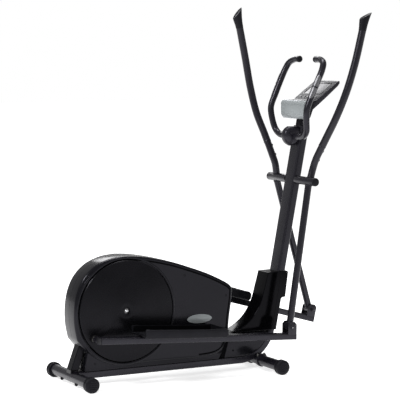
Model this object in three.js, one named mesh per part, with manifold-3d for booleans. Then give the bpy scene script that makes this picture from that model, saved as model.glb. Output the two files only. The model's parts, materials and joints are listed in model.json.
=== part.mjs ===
// Rear-drive elliptical trainer, millimetres, +Z up, +X is the way the user faces, right-hand side at -Y.
import * as THREE from "three";
import Module from "manifold-3d";
import { mergeVertices } from "three/addons/utils/BufferGeometryUtils.js";

const wasm = await Module();
wasm.setup();

// ---- driving dimensions -------------------------------------------------------------------------
const GAP = 0.3; // air left between pieces that touch
const RIGHT = -1;
const LEFT = 1;

const STABILIZER_Z = 35.5; // height of both stabilizer tubes' centres
const STABILIZER_R = 24.5;
const REAR_X = -657;
const REAR_HALF = 220;
const FRONT_X = 264;
const FRONT_HALF = 250;
const FOOT_R = 36;
const FOOT_LENGTH = 46;

const BASE_HALF_WIDTH = 37;
const BASE_BOTTOM = 26;
const BASE_TOP = 60;
const BEND_X = 163; // where the base tube starts to curve up
const BEND_R = 165; // radius of the bend at the tube's centre

const LEAN = 0.1901; // mast lean, forward run per unit of height
const MAST_X = 291; // mast centre line at floor level
const MAST_DEPTH = 40;
const MAST_HALF_WIDTH = 40;
const MAST_TOP = 1100;
const MAST_WALL = 2.5;
const TUBE_WALL = 2.5; // wall of the base, stabilizer, pedal and swing arm tubes

const AXLE_X = -426; // crank axle
const AXLE_Z = 316;
const AXLE_R = 10;
const CRANK_R = 190; // crank axle to crank pin
const CRANK_ANGLE = 215.3; // right crank, degrees from +X towards +Z
const CRANK_PIN_R = 13;
const CRANK_BOSS_END = 84; // the pedal arm's stub shaft starts just outside it
const DISC_R = 225.5;
const DISC_FACE = 69;
const PULLEY_R = 130;
const DRIVE_PULLEY_R = 22;
const FLYWHEEL_X = -67;
const FLYWHEEL_Z = 250;
const FLYWHEEL_R = 108;

const PIVOT_X = 452; // swing arm pivot
const PIVOT_Z = 856;
const PIVOT_AXLE_R = 10;
const SLEEVE_R = 19;
const SLEEVE_END = 200;
const ARM_Y = 147;
const ARM_R = 15;
const ARM_LENGTH = 666.6; // pivot to lower eye
const RIGHT_ARM_ANGLE = -8.71; // lower end forward is positive
const LEFT_ARM_ANGLE = 16.23;
const SEAM_V = 165; // height of the handle joint above the pivot
const HANDLE_R = 15.5;

const PEDAL_Y = 150;
const PEDAL_HALF_WIDTH = 25;
const PEDAL_TUBE_H = 28;
const PEDAL_LENGTH = 932.5; // crank pin to lower eye
const PLATE_START = 166;
const PLATE_END = 572;
const PLATE_INNER = 88;
const PLATE_OUTER = 240;

const SHELL_FACE = 62; // half thickness of the drive housing
const SHELL_WALL = 3;

const radians = (degrees) => (degrees * Math.PI) / 180;
const mastX = (z) => MAST_X + LEAN * z;
const MAST_COS = 1 / Math.hypot(1, LEAN);
const MAST_HALF_DEPTH = MAST_DEPTH / 2 / MAST_COS; // measured level

// ---- materials ----------------------------------------------------------------------------------
const SATIN_BLACK = [0x323034, 0.45, 0.3];
const HOUSING_BLACK = [0x2a2a2e, 0.35, 0.0];
const GLOSS_BLACK = [0x161618, 0.2, 0.0];
const SILVER_PLASTIC = [0x969c9c, 0.4, 0.1];
const GREY_FACE = [0x7a7c7e, 0.4, 0.0];
const RUBBER = [0x232326, 0.8, 0.0];
const STEEL = [0xb9babc, 0.3, 1.0];
const CAST_IRON = [0x5a5a5c, 0.6, 0.8];
const DARK_LENS = [0x39413c, 0.15, 0.0];

const group = new THREE.Group();
group.name = "elliptical_trainer";

// Puts the origin under the middle of the bounding box.
const CENTRING = 3.9;

function add(name, geometry, look) {
  const [color, roughness, metalness] = look;
  geometry.translate(CENTRING, 0, 0);
  const mesh = new THREE.Mesh(geometry, new THREE.MeshStandardMaterial({ color, roughness, metalness }));
  mesh.name = name;
  group.add(mesh);
}

// ---- shape helpers ------------------------------------------------------------------------------
function solid(geometry) {
  const plain = geometry.clone();
  plain.deleteAttribute("normal");
  plain.deleteAttribute("uv");
  const welded = mergeVertices(plain, 1e-4);
  return new wasm.Manifold(
    new wasm.Mesh({
      numProp: 3,
      vertProperties: new Float32Array(welded.attributes.position.array),
      triVerts: new Uint32Array(welded.index.array),
    }),
  );
}

function geometryOf(manifold) {
  const mesh = manifold.getMesh();
  const geometry = new THREE.BufferGeometry();
  geometry.setAttribute("position", new THREE.BufferAttribute(new Float32Array(mesh.vertProperties), 3));
  geometry.setIndex(new THREE.BufferAttribute(new Uint32Array(mesh.triVerts), 1));
  geometry.computeVertexNormals();
  return geometry;
}

function cut(body, ...tools) {
  return geometryOf(tools.reduce((left, tool) => left.subtract(solid(tool)), solid(body)));
}

function join(...bodies) {
  return geometryOf(bodies.slice(1).reduce((left, next) => left.add(solid(next)), solid(bodies[0])));
}

// A solid between y0 and y1 whose outline in the XZ plane is a list of [x, z] corners.
function prismY(outline, y0, y1, bevel = 0, segments = 2) {
  const shape = new THREE.Shape(outline.map(([x, z]) => new THREE.Vector2(x, z)));
  const geometry = new THREE.ExtrudeGeometry(shape, {
    depth: y1 - y0 - 2 * bevel,
    bevelEnabled: bevel > 0,
    bevelThickness: bevel,
    bevelSize: bevel,
    bevelOffset: -bevel,
    bevelSegments: segments,
    curveSegments: 1,
  });
  geometry.rotateX(Math.PI / 2);
  geometry.translate(0, y1 - bevel, 0);
  return geometry;
}

function box(x0, x1, y0, y1, z0, z1) {
  const geometry = new THREE.BoxGeometry(x1 - x0, y1 - y0, z1 - z0);
  geometry.translate((x0 + x1) / 2, (y0 + y1) / 2, (z0 + z1) / 2);
  return geometry;
}

function cylinderY(x, z, r, y0, y1, segments = 20) {
  const geometry = new THREE.CylinderGeometry(r, r, y1 - y0, segments);
  geometry.translate(x, (y0 + y1) / 2, z);
  return geometry;
}

// A turned solid on an axis along Y; the profile is a list of [radius, y] from axis to axis.
function turnedY(x, z, profile, segments = 24) {
  const geometry = new THREE.LatheGeometry(profile.map(([r, y]) => new THREE.Vector2(r, y)), segments);
  geometry.translate(x, 0, z);
  return geometry;
}

function ringY(x, z, inner, outer, y0, y1, segments = 24) {
  const profile = [[inner, y0], [outer, y0], [outer, y1], [inner, y1], [inner, y0]];
  return turnedY(x, z, profile, segments);
}

// A round bar through 3-D points, with flat ends.
function bar(points, radius, segments = 12) {
  const centres = points.map((p) => new THREE.Vector3(...p));
  const tangentAt = (i) => {
    const before = centres[Math.max(i - 1, 0)];
    const after = centres[Math.min(i + 1, centres.length - 1)];
    return after.clone().sub(before).normalize();
  };
  const positions = [];
  const index = [];
  let side = new THREE.Vector3(0, 1, 0);
  if (Math.abs(tangentAt(0).y) > 0.9) {
    side = new THREE.Vector3(1, 0, 0);
  }
  centres.forEach((centre, i) => {
    const tangent = tangentAt(i);
    side = side.clone().addScaledVector(tangent, -side.dot(tangent)).normalize();
    const up = tangent.clone().cross(side);
    for (let k = 0; k < segments; k++) {
      const turn = (2 * Math.PI * k) / segments;
      const rim = centre.clone();
      rim.addScaledVector(side, radius * Math.cos(turn));
      rim.addScaledVector(up, radius * Math.sin(turn));
      positions.push(rim.x, rim.y, rim.z);
    }
  });
  const last = (centres.length - 1) * segments;
  for (let i = 0; i < last; i += segments) {
    for (let k = 0; k < segments; k++) {
      const next = (k + 1) % segments;
      index.push(i + k, i + next, i + segments + next);
      index.push(i + k, i + segments + next, i + segments + k);
    }
  }
  for (let k = 1; k < segments - 1; k++) {
    index.push(0, k + 1, k);
    index.push(last, last + k, last + k + 1);
  }
  const geometry = new THREE.BufferGeometry();
  geometry.setAttribute("position", new THREE.BufferAttribute(new Float32Array(positions), 3));
  geometry.setIndex(index);
  geometry.computeVertexNormals();
  return geometry;
}

function smooth(points, count) {
  const curve = new THREE.CatmullRomCurve3(points.map((p) => new THREE.Vector3(...p)), false, "centripetal");
  return curve.getSpacedPoints(count).map((p) => [p.x, p.y, p.z]);
}

function outlineSpline(points, count) {
  const spline = smooth(points.map(([x, z]) => [x, 0, z]), count);
  return spline.map(([x, , z]) => [x, z]);
}

const sideName = (side) => (side === RIGHT ? "right" : "left");

// Turns a piece drawn on the +Y side on to the side asked for.
const ySpan = (side, inner, outer) => (side === LEFT ? [inner, outer] : [-outer, -inner]);

// ---- base and mast ------------------------------------------------------------------------------
const BEND_TURN = Math.PI / 2 - Math.atan(LEAN);
const BASE_MID = (BASE_BOTTOM + BASE_TOP) / 2;
const BASE_HALF_H = (BASE_TOP - BASE_BOTTOM) / 2;
const STUB_TOP_Z = BASE_MID + BEND_R * (1 - Math.cos(BEND_TURN));

// Side view of the base tube and its bend, its faces moved in by the inset and its end carried on by the overrun.
function baseOutline(start, inset, overrun) {
  const outer = [];
  const inner = [];
  const steps = 9;
  for (let i = 0; i <= steps; i++) {
    const turn = ((BEND_TURN + overrun) * i) / steps;
    const at = (r) => [BEND_X + r * Math.sin(turn), BASE_MID + BEND_R - r * Math.cos(turn)];
    outer.push(at(BEND_R + BASE_HALF_H - inset));
    inner.unshift(at(BEND_R - BASE_HALF_H + inset));
  }
  return [[start, BASE_BOTTOM + inset], ...outer, ...inner, [start, BASE_TOP - inset]];
}

function baseTube() {
  const start = REAR_X + STABILIZER_R - 12;
  const tube = prismY(baseOutline(start, 0, 0), -BASE_HALF_WIDTH, BASE_HALF_WIDTH, 5, 2);
  const boreHalf = BASE_HALF_WIDTH - TUBE_WALL;
  const bore = prismY(baseOutline(start - 5, TUBE_WALL, 0.06), -boreHalf, boreHalf, 3, 1);
  const cope = (x) => cylinderY(x, STABILIZER_Z, STABILIZER_R + GAP, -60, 60, 24);
  return cut(tube, bore, cope(REAR_X), cope(FRONT_X));
}

function stabilizer(x, half) {
  const end = half - FOOT_LENGTH;
  const tube = cylinderY(x, STABILIZER_Z, STABILIZER_R, -end, end, 24);
  return cut(tube, cylinderY(x, STABILIZER_Z, STABILIZER_R - TUBE_WALL, -end - 5, end + 5, 24));
}

// Moulded end foot: a domed plug over the tube end with a flat pad cut into its underside.
function footCap(x, half, side) {
  const inner = half - FOOT_LENGTH + GAP;
  const profile = [
    [0, inner],
    [FOOT_R - 2, inner],
    [FOOT_R, inner + 4],
    [FOOT_R, half - 10],
    [FOOT_R - 4, half - 3],
    [FOOT_R - 12, half],
    [0, half],
  ];
  const cap = turnedY(x, FOOT_R - 1.5, profile, 28);
  if (side === RIGHT) {
    cap.rotateZ(Math.PI);
    cap.translate(2 * x, 0, 0);
  }
  return cut(cap, box(x - 50, x + 50, -400, 400, -20, 0));
}

function rearPost() {
  const outline = [[-675, 66], [-638, 66], [-571, 251], [-608, 251]];
  const saddle = cylinderY(REAR_X, STABILIZER_Z, STABILIZER_R + GAP, -60, 60, 24);
  const foot = [[-675, 42], [-638, 42], [-638, 68], [-675, 68]];
  const post = join(prismY(outline, -25, 25, 3, 1), prismY(foot, -25, 25, 3, 1));
  const tubeRoom = box(REAR_X + STABILIZER_R - 13, -600, -60, 60, 0, BASE_TOP + GAP);
  return cut(post, saddle, tubeRoom);
}

function crankCarrier() {
  const column = box(AXLE_X - 22, AXLE_X + 22, -22, 22, BASE_TOP + GAP, AXLE_Z);
  const shell = cylinderY(AXLE_X, AXLE_Z, 29, -25, 25, 24);
  return cut(join(column, shell), cylinderY(AXLE_X, AXLE_Z, 24, -30, 30, 24));
}

function rearBrace() {
  const postFront = (z) => -638 + ((z - 66) * 67) / 185;
  const outline = [[postFront(205) + 1, 205], [AXLE_X - 22.4, 235], [AXLE_X - 22.4, 265], [postFront(240) + 1, 240]];
  return prismY(outline, -18, 18);
}

function bearing(side) {
  const [y0, y1] = ySpan(side, 12, 24.5);
  return ringY(AXLE_X, AXLE_Z, AXLE_R + GAP, 24 - GAP, y0, y1, 20);
}

function flywheelFork() {
  const cheek = (side) => {
    const [y0, y1] = ySpan(side, 20, 25);
    const outline = [
      [FLYWHEEL_X - 60, BASE_TOP + GAP],
      [FLYWHEEL_X + 60, BASE_TOP + GAP],
      [FLYWHEEL_X + 18, FLYWHEEL_Z + 16],
      [FLYWHEEL_X - 18, FLYWHEEL_Z + 16],
    ];
    return prismY(outline, y0, y1);
  };
  const foot = box(FLYWHEEL_X - 60, FLYWHEEL_X + 60, -25, 25, BASE_TOP + GAP, BASE_TOP + 8);
  const bore = cylinderY(FLYWHEEL_X, FLYWHEEL_Z, 8 + GAP, -40, 40, 20);
  return cut(join(cheek(RIGHT), cheek(LEFT), foot), bore);
}

function mast() {
  const slab = (z0, z1, halfDepth, halfWidth, bevel) => {
    const outline = [
      [mastX(z0) - halfDepth, z0],
      [mastX(z0) + halfDepth, z0],
      [mastX(z1) + halfDepth, z1],
      [mastX(z1) - halfDepth, z1],
    ];
    return prismY(outline, -halfWidth, halfWidth, bevel, 2);
  };
  const bottom = STUB_TOP_Z + 5;
  const wall = MAST_WALL / MAST_COS;
  const outside = slab(bottom, MAST_TOP, MAST_HALF_DEPTH, MAST_HALF_WIDTH, 6);
  const inside = slab(bottom + 6, MAST_TOP + 20, MAST_HALF_DEPTH - wall, MAST_HALF_WIDTH - MAST_WALL, 0);
  const axleHole = cylinderY(PIVOT_X, PIVOT_Z, PIVOT_AXLE_R + GAP, -60, 60, 20);
  return cut(outside, inside, axleHole);
}

// ---- covers -------------------------------------------------------------------------------------
const SHELL_OUTLINE = outlineSpline(
  [
    [-656, 200], [-668, 262], [-670, 330], [-657, 408], [-624, 474], [-570, 522], [-500, 549], [-440, 556],
    [-372, 553], [-307, 543], [-197, 517], [-109, 488], [-18, 454], [54, 420], [90, 399], [104, 384],
  ],
  30,
).concat([
  [107, 372], [104, 330], [92, 250], [85, 180], [76, 138], [58, 106], [30, 88], [-22, 78],
  [-240, 78], [-330, 78], [-426, 76], [-500, 84], [-560, 108], [-612, 146],
]);

// Moves each corner of an outline inwards by a distance.
function inset(outline, distance) {
  const count = outline.length;
  const area = outline.reduce((sum, [x, z], i) => {
    const [nx, nz] = outline[(i + 1) % count];
    return sum + (x * nz - nx * z) / 2;
  }, 0);
  const turn = Math.sign(area);
  return outline.map(([x, z], i) => {
    const [px, pz] = outline[(i + count - 1) % count];
    const [nx, nz] = outline[(i + 1) % count];
    const a = new THREE.Vector2(x - px, z - pz).normalize();
    const b = new THREE.Vector2(nx - x, nz - z).normalize();
    const normalA = new THREE.Vector2(-a.y, a.x).multiplyScalar(turn);
    const normalB = new THREE.Vector2(-b.y, b.x).multiplyScalar(turn);
    const middle = normalA.clone().add(normalB).normalize();
    const reach = distance / Math.max(middle.dot(normalA), 0.5);
    return [x + middle.x * reach, z + middle.y * reach];
  });
}

const SKIRT = [[-636, 62], [-30, 62], [40, 62], [60, 100], [0, 200], [-200, 260], [-640, 260], [-650, 170]];

function housingShell(side) {
  const [y0, y1] = ySpan(side, 0, 200);
  const half = box(-900, 400, y0 + GAP / 2, y1, -50, 800);
  if (side === RIGHT) {
    half.translate(0, -GAP, 0);
  }
  const body = prismY(SHELL_OUTLINE, -SHELL_FACE, SHELL_FACE, 14, 3);
  const skirt = prismY(SKIRT, -54, 54, 4, 1);
  const disc = cylinderY(AXLE_X, AXLE_Z, DISC_R + 3.5, 54, 120, 40);
  const otherDisc = cylinderY(AXLE_X, AXLE_Z, DISC_R + 3.5, -120, -54, 40);
  const hollow = prismY(inset(SHELL_OUTLINE, SHELL_WALL), -(54 - SHELL_WALL), 54 - SHELL_WALL);
  const underside = box(-628, 30, -(54 - SHELL_WALL), 54 - SHELL_WALL, 40, 160);
  const axle = cylinderY(AXLE_X, AXLE_Z, 22, -100, 100, 20);
  const post = prismY([[-684, 40], [-634, 40], [-562, 262], [-618, 262]], -26, 26);
  const outside = solid(body).add(solid(skirt)).subtract(solid(disc)).subtract(solid(otherDisc));
  const cavity = solid(hollow).add(solid(underside)).add(solid(axle)).add(solid(post));
  return geometryOf(outside.subtract(cavity).intersect(solid(half)));
}

function mastShroud() {
  const outline = [
    [300, 440], [295, 430], [281, 372], [261, 304], [242, 268], [214, 231], [177, 201], [146, 182], [126, 170],
    [342, 170], [348, 200], [368, 314], [392, 318], [406, 434], [402, 440],
  ];
  const outside = prismY(outline, -48, 48, 7, 2);
  const room = [
    [mastX(160) - MAST_HALF_DEPTH - 1, 160],
    [mastX(160) + MAST_HALF_DEPTH + 1, 160],
    [mastX(470) + MAST_HALF_DEPTH + 1, 470],
    [mastX(470) - MAST_HALF_DEPTH - 1, 470],
  ];
  const inner = [
    [302, 430], [286, 372], [266, 304], [247, 268], [219, 235], [182, 206], [160, 193], [160, 150],
    [330, 150], [338, 200], [358, 320], [370, 430],
  ];
  return cut(outside, prismY(inner, -43.5, 43.5), prismY(room, -MAST_HALF_WIDTH - 1, MAST_HALF_WIDTH + 1));
}

function footCover() {
  const arc = [];
  const steps = 6;
  for (let i = 0; i <= steps; i++) {
    const turn = (BEND_TURN * 0.8 * i) / steps;
    const r = BEND_R - BASE_HALF_H - 1;
    arc.push([BEND_X + r * Math.sin(turn), BASE_MID + BEND_R - r * Math.cos(turn)]);
  }
  const outline = [[72, 61], ...arc, [292, 168], [98, 168], [88, 130]];
  return prismY(outline, -46, 46, 6, 2);
}

// ---- crank, pulley and flywheel -----------------------------------------------------------------
const crankPoint = (side, r) => {
  const angle = radians(CRANK_ANGLE + (side === RIGHT ? 0 : 180));
  return [AXLE_X + r * Math.cos(angle), AXLE_Z + r * Math.sin(angle)];
};

function crankArm(side) {
  const [px, pz] = crankPoint(side, CRANK_R);
  const [y0, y1] = ySpan(side, 55, 62.5);
  const along = new THREE.Vector2(px - AXLE_X, pz - AXLE_Z).normalize();
  const across = new THREE.Vector2(-along.y, along.x).multiplyScalar(18);
  const outline = [
    [AXLE_X + across.x, AXLE_Z + across.y],
    [AXLE_X - across.x, AXLE_Z - across.y],
    [px - across.x, pz - across.y],
    [px + across.x, pz + across.y],
  ];
  const web = prismY(outline, y0, y1);
  const hub = cylinderY(AXLE_X, AXLE_Z, 20, y0, y1, 24);
  const eye = cylinderY(px, pz, 20, y0, y1, 24);
  const [pin0, pin1] = ySpan(side, 56, CRANK_BOSS_END);
  const pin = cylinderY(px, pz, CRANK_PIN_R, pin0, pin1, 20);
  return cut(join(web, hub, eye, pin), cylinderY(AXLE_X, AXLE_Z, AXLE_R + GAP, -100, 100, 20));
}

function crankDisc(side) {
  const profile = [
    [0, 63], [215, 63], [219, 57], [DISC_R, 57], [DISC_R, DISC_FACE - 3], [DISC_R - 3, DISC_FACE], [0, DISC_FACE],
  ];
  const disc = turnedY(AXLE_X, AXLE_Z, profile, 48);
  if (side === RIGHT) {
    disc.rotateZ(Math.PI);
    disc.translate(2 * AXLE_X, 0, 0);
  }
  const [px, pz] = crankPoint(side, CRANK_R);
  const pinHole = cylinderY(px, pz, CRANK_PIN_R + 0.5, -100, 100, 20);
  const axleHole = cylinderY(AXLE_X, AXLE_Z, 12, -100, 100, 20);
  return cut(disc, pinHole, axleHole);
}

function crankBolt(side) {
  const [y0, y1] = ySpan(side, 63.2, 67.5);
  return cylinderY(AXLE_X, AXLE_Z, 9.5, y0, y1, 16);
}

function crankPulley() {
  const profile = [
    [AXLE_R + GAP, 28], [20, 28], [20, 31], [PULLEY_R - 6, 31], [PULLEY_R - 6, 28.5], [PULLEY_R, 28.5],
    [PULLEY_R, 39.5], [PULLEY_R - 6, 39.5], [PULLEY_R - 6, 36], [20, 36], [20, 42], [AXLE_R + GAP, 42],
    [AXLE_R + GAP, 28],
  ];
  return turnedY(AXLE_X, AXLE_Z, profile, 40);
}

// Belt loop: two arcs and two straight runs round the crank pulley and the small flywheel pulley.
function driveBelt() {
  const dx = FLYWHEEL_X - AXLE_X;
  const dz = FLYWHEEL_Z - AXLE_Z;
  const distance = Math.hypot(dx, dz);
  const heading = Math.atan2(dz, dx);
  const tilt = Math.asin((PULLEY_R - DRIVE_PULLEY_R) / distance);
  const loop = (extra) => {
    const points = [];
    const big = PULLEY_R + extra;
    const small = DRIVE_PULLEY_R + extra;
    const bigSteps = 20;
    const smallSteps = 8;
    const bigStart = heading + Math.PI / 2 - tilt;
    for (let i = 0; i <= bigSteps; i++) {
      const a = bigStart + ((Math.PI + 2 * tilt) * i) / bigSteps;
      points.push([AXLE_X + big * Math.cos(a), AXLE_Z + big * Math.sin(a)]);
    }
    const smallStart = heading - Math.PI / 2 + tilt;
    for (let i = 0; i <= smallSteps; i++) {
      const a = smallStart + ((Math.PI - 2 * tilt) * i) / smallSteps;
      points.push([FLYWHEEL_X + small * Math.cos(a), FLYWHEEL_Z + small * Math.sin(a)]);
    }
    return points;
  };
  return cut(prismY(loop(2.6), 29.5, 38.5), prismY(loop(0.8), 20, 50));
}

function flywheel() {
  const profile = [
    [8 + GAP, -16], [22, -16], [22, -7], [FLYWHEEL_R - 26, -7], [FLYWHEEL_R - 22, -16], [FLYWHEEL_R, -16],
    [FLYWHEEL_R, 16], [FLYWHEEL_R - 22, 16], [FLYWHEEL_R - 26, 7], [22, 7], [22, 16], [8 + GAP, 16], [8 + GAP, -16],
  ];
  return turnedY(FLYWHEEL_X, FLYWHEEL_Z, profile, 36);
}

// Curved magnet carrier over the flywheel's rim, on a slotted strap that slides on the flywheel axle.
const BRAKE_ANGLE = 70;

function brakeShoe() {
  const points = [];
  const steps = 8;
  for (const r of [FLYWHEEL_R + 4, FLYWHEEL_R + 12]) {
    for (let i = 0; i <= steps; i++) {
      const k = r > FLYWHEEL_R + 8 ? steps - i : i;
      const a = radians(BRAKE_ANGLE - 35 + (70 * k) / steps);
      points.push([FLYWHEEL_X + r * Math.cos(a), FLYWHEEL_Z + r * Math.sin(a)]);
    }
  }
  const along = (r, w) => {
    const a = radians(BRAKE_ANGLE);
    return [
      FLYWHEEL_X + r * Math.cos(a) - w * Math.sin(a),
      FLYWHEEL_Z + r * Math.sin(a) + w * Math.cos(a),
    ];
  };
  const bar4 = (r0, r1, w) => [along(r0, -w), along(r1, -w), along(r1, w), along(r0, w)];
  const strap = prismY(bar4(-24, FLYWHEEL_R + 8, 16), -29, -25.6);
  const slot = prismY(bar4(-15.5, 8.5, 8.5), -40, -20);
  return cut(join(prismY(points, -29, 15), strap), slot);
}

// A path with its last point carried straight on, so that a bore runs out of the tube's end.
function carriedOn(path) {
  const [last, before] = [path[path.length - 1], path[path.length - 2]];
  const length = Math.hypot(...last.map((value, i) => value - before[i]));
  return [...path, last.map((value, i) => value + ((value - before[i]) * 5) / length)];
}

// ---- swing arms ---------------------------------------------------------------------------------
const armAngle = (side) => radians(side === RIGHT ? RIGHT_ARM_ANGLE : LEFT_ARM_ANGLE);

// A point of a swing arm: u forward, v up from the pivot with the arm hanging straight down.
function armPoint(side, u, v, y) {
  const t = armAngle(side);
  return [PIVOT_X + u * Math.cos(t) - v * Math.sin(t), side * y, PIVOT_Z + u * Math.sin(t) + v * Math.cos(t)];
}

const HANDLE_PATH = [
  [4, 0, 147], [12, 60, 147], [14, 100, 157], [25, 200, 201], [35, 300, 247], [52, 420, 276], [69, 550, 287],
  [82, 700, 291],
];

function handleSpine(side, v0, v1, count) {
  const curve = smooth(HANDLE_PATH.map(([u, v, y]) => [u, y, v]), 120);
  const spine = curve.filter(([, , v]) => v >= v0 && v <= v1);
  const picked = [];
  for (let i = 0; i < count; i++) {
    const [u, y, v] = spine[Math.round((i * (spine.length - 1)) / (count - 1))];
    picked.push(armPoint(side, u, v, y));
  }
  return picked;
}

function swingArm(side) {
  const [s0, s1] = ySpan(side, MAST_HALF_WIDTH + 1, SLEEVE_END);
  const sleeve = cylinderY(PIVOT_X, PIVOT_Z, SLEEVE_R, s0, s1, 24);
  const [ex, ey, ez] = armPoint(side, 0, -ARM_LENGTH, PEDAL_Y);
  const lower = bar([[PIVOT_X, side * ARM_Y, PIVOT_Z], [ex, ey, ez]], ARM_R, 16);
  const stub = bar(handleSpine(side, 0, SEAM_V, 5), HANDLE_R, 16);
  const boreEnd = armPoint(side, 0, -(ARM_LENGTH - 26), PEDAL_Y);
  const lowerBore = bar([armPoint(side, 0, -8, ARM_Y), boreEnd], ARM_R - TUBE_WALL, 12);
  const stubBore = bar(carriedOn(handleSpine(side, 26, SEAM_V, 5)), HANDLE_R - TUBE_WALL, 12);
  const [e0, e1] = ySpan(side, PEDAL_Y - 22, PEDAL_Y + 22);
  const eye = cylinderY(ex, ez, 19, e0, e1, 20);
  const pinBore = cylinderY(ex, ez, 6.4, -300, 300, 16);
  const axleBore = cylinderY(PIVOT_X, PIVOT_Z, PIVOT_AXLE_R + GAP, -300, 300, 20);
  return cut(join(sleeve, lower, stub, eye), lowerBore, stubBore, pinBore, axleBore);
}

function handle(side) {
  const spine = handleSpine(side, SEAM_V + 3, 700, 14);
  const bore = bar(carriedOn([...carriedOn(spine)].reverse()), HANDLE_R - TUBE_WALL, 12);
  return cut(bar(spine, HANDLE_R, 16), bore);
}

// Slanted plug on top of a handle, flared forward to a tip.
function handleCap(side) {
  const corners = [[64, 703.5], [100, 703.5], [115, 789], [61, 751]];
  const outline = corners.map(([u, v]) => {
    const [x, , z] = armPoint(side, u, v, 0);
    return [x, z];
  });
  return prismY(outline, ...ySpan(side, 291 - 18, 291 + 18), 4, 2);
}

function pivotCap(side) {
  const profile = [[0, SLEEVE_END + GAP], [SLEEVE_R, SLEEVE_END + GAP], [SLEEVE_R - 1, 204], [13, 207], [0, 207.5]];
  const cap = turnedY(PIVOT_X, PIVOT_Z, profile, 24);
  if (side === RIGHT) {
    cap.rotateZ(Math.PI);
    cap.translate(2 * PIVOT_X, 0, 0);
  }
  return cap;
}

// ---- pedal arms ---------------------------------------------------------------------------------
const lowerEye = (side) => {
  const [x, , z] = armPoint(side, 0, -ARM_LENGTH, 0);
  return [x, z];
};

// A point of a pedal arm: s forward from the crank pin, h up from the line between its two pins.
function pedalPoint(side, s, h) {
  const [fx, fz] = lowerEye(side);
  const [cx, cz] = crankPoint(side, CRANK_R);
  const length = Math.hypot(fx - cx, fz - cz);
  const ex = (fx - cx) / length;
  const ez = (fz - cz) / length;
  const back = PEDAL_LENGTH - s;
  return [fx - ex * back - ez * h, fz - ez * back + ex * h];
}

const TUBE_DROP = 46 / PEDAL_LENGTH; // fall of the tube's centre line per unit of length
const tubeCentre = (s) => 4 - TUBE_DROP * s;
const tubeTop = (s) => tubeCentre(s) + PEDAL_TUBE_H / 2;

function pedalOutline(side, corners) {
  return corners.map(([s, h]) => pedalPoint(side, s, h));
}

function pedalArm(side) {
  const [y0, y1] = ySpan(side, PEDAL_Y - PEDAL_HALF_WIDTH, PEDAL_Y + PEDAL_HALF_WIDTH);
  const rear = -16;
  const front = PEDAL_LENGTH + 24;
  const half = PEDAL_TUBE_H / 2;
  const tubeLine = [
    [rear, tubeCentre(rear) - half], [front, tubeCentre(front) - half],
    [front, tubeCentre(front) + half], [rear, tubeCentre(rear) + half],
  ];
  const inside = half - TUBE_WALL;
  const boreLine = [
    [rear - 5, tubeCentre(rear - 5) - inside], [front + 5, tubeCentre(front + 5) - inside],
    [front + 5, tubeCentre(front + 5) + inside], [rear - 5, tubeCentre(rear - 5) + inside],
  ];
  const bore = prismY(pedalOutline(side, boreLine), y0 + TUBE_WALL, y1 - TUBE_WALL);
  const tube = cut(prismY(pedalOutline(side, tubeLine), y0, y1, 4, 2), bore);
  const f = PEDAL_LENGTH;
  const base = tubeTop(f);
  const cheekLine = [
    [f - 22, base - 6], [f + 23, base - 6], [f + 23, 14], [f + 12, 26], [f - 11, 26], [f - 22, 14],
  ];
  const cheek = (inner, outer) => prismY(pedalOutline(side, cheekLine), ...ySpan(side, inner, outer));
  const stub = cylinderY(...pedalPoint(side, 0, 0), CRANK_PIN_R, ...ySpan(side, CRANK_BOSS_END + 0.4, PEDAL_Y - PEDAL_HALF_WIDTH + 2), 20);
  const pinBore = cylinderY(...lowerEye(side), 6.4, -300, 300, 16);
  const cheeks = [cheek(PEDAL_Y - 28, PEDAL_Y - 23), cheek(PEDAL_Y + 23, PEDAL_Y + 28)];
  return cut(join(tube, stub, ...cheeks), pinBore);
}

function lowerPin(side) {
  const [x, z] = lowerEye(side);
  const [y0, y1] = ySpan(side, PEDAL_Y - 31, PEDAL_Y + 31);
  const shank = cylinderY(x, z, 6, y0, y1, 16);
  const [h0, h1] = ySpan(side, PEDAL_Y + 28.4, PEDAL_Y + 34);
  const [n0, n1] = ySpan(side, PEDAL_Y - 35, PEDAL_Y - 28.4);
  return join(shank, cylinderY(x, z, 10, h0, h1, 16), cylinderY(x, z, 10, n0, n1, 6));
}

function footplate(side) {
  const s0 = PLATE_START;
  const s1 = PLATE_END;
  const floor = (s) => tubeTop(s) + 0.6;
  const corners = [
    [s0 + 14, floor(s0)], [s1 - 8, floor(s1)], [s1, floor(s1) + 10], [s1, floor(s1) + 26],
    [s1 - 26, floor(s1) + 42], [s1 - 90, floor(s1) + 42], [s0 + 30, floor(s0) + 40], [s0, floor(s0) + 44], [s0, floor(s0) + 16],
  ];
  const [y0, y1] = ySpan(side, PLATE_INNER, PLATE_OUTER);
  const body = prismY(pedalOutline(side, corners), y0, y1, 8, 2);
  const well = [
    [s0 - 20, floor(s0) + 10], [s1 - 14, floor(s1) + 10], [s1 - 14, floor(s1) + 80], [s0 - 20, floor(s0) + 80],
  ];
  const [w0, w1] = ySpan(side, PLATE_INNER + 8, PLATE_OUTER - 8);
  return cut(body, prismY(pedalOutline(side, well), w0, w1));
}

// ---- handlebar and console ----------------------------------------------------------------------
const BAR_R = 13;
const BAR_PATH = [
  [448, 18, 1053], [448, 50, 1053], [444, 100, 1063], [436, 128, 1085], [427, 144, 1130], [431, 153, 1186],
  [455, 160, 1246], [480, 163, 1300], [505, 160, 1350], [522, 146, 1384], [530, 112, 1402], [531, 70, 1406],
];
const BAR_CURVE = smooth(BAR_PATH, 60);

function barSpan(side, from, to, count) {
  const points = [];
  for (let i = 0; i < count; i++) {
    const place = Math.round(from + ((to - from) * i) / (count - 1));
    const [x, y, z] = BAR_CURVE[place];
    points.push([x, side * y, z]);
  }
  return points;
}

function barCrossPiece() {
  return bar([[448, -17.5, 1053], [448, 17.5, 1053]], BAR_R, 16);
}

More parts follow.
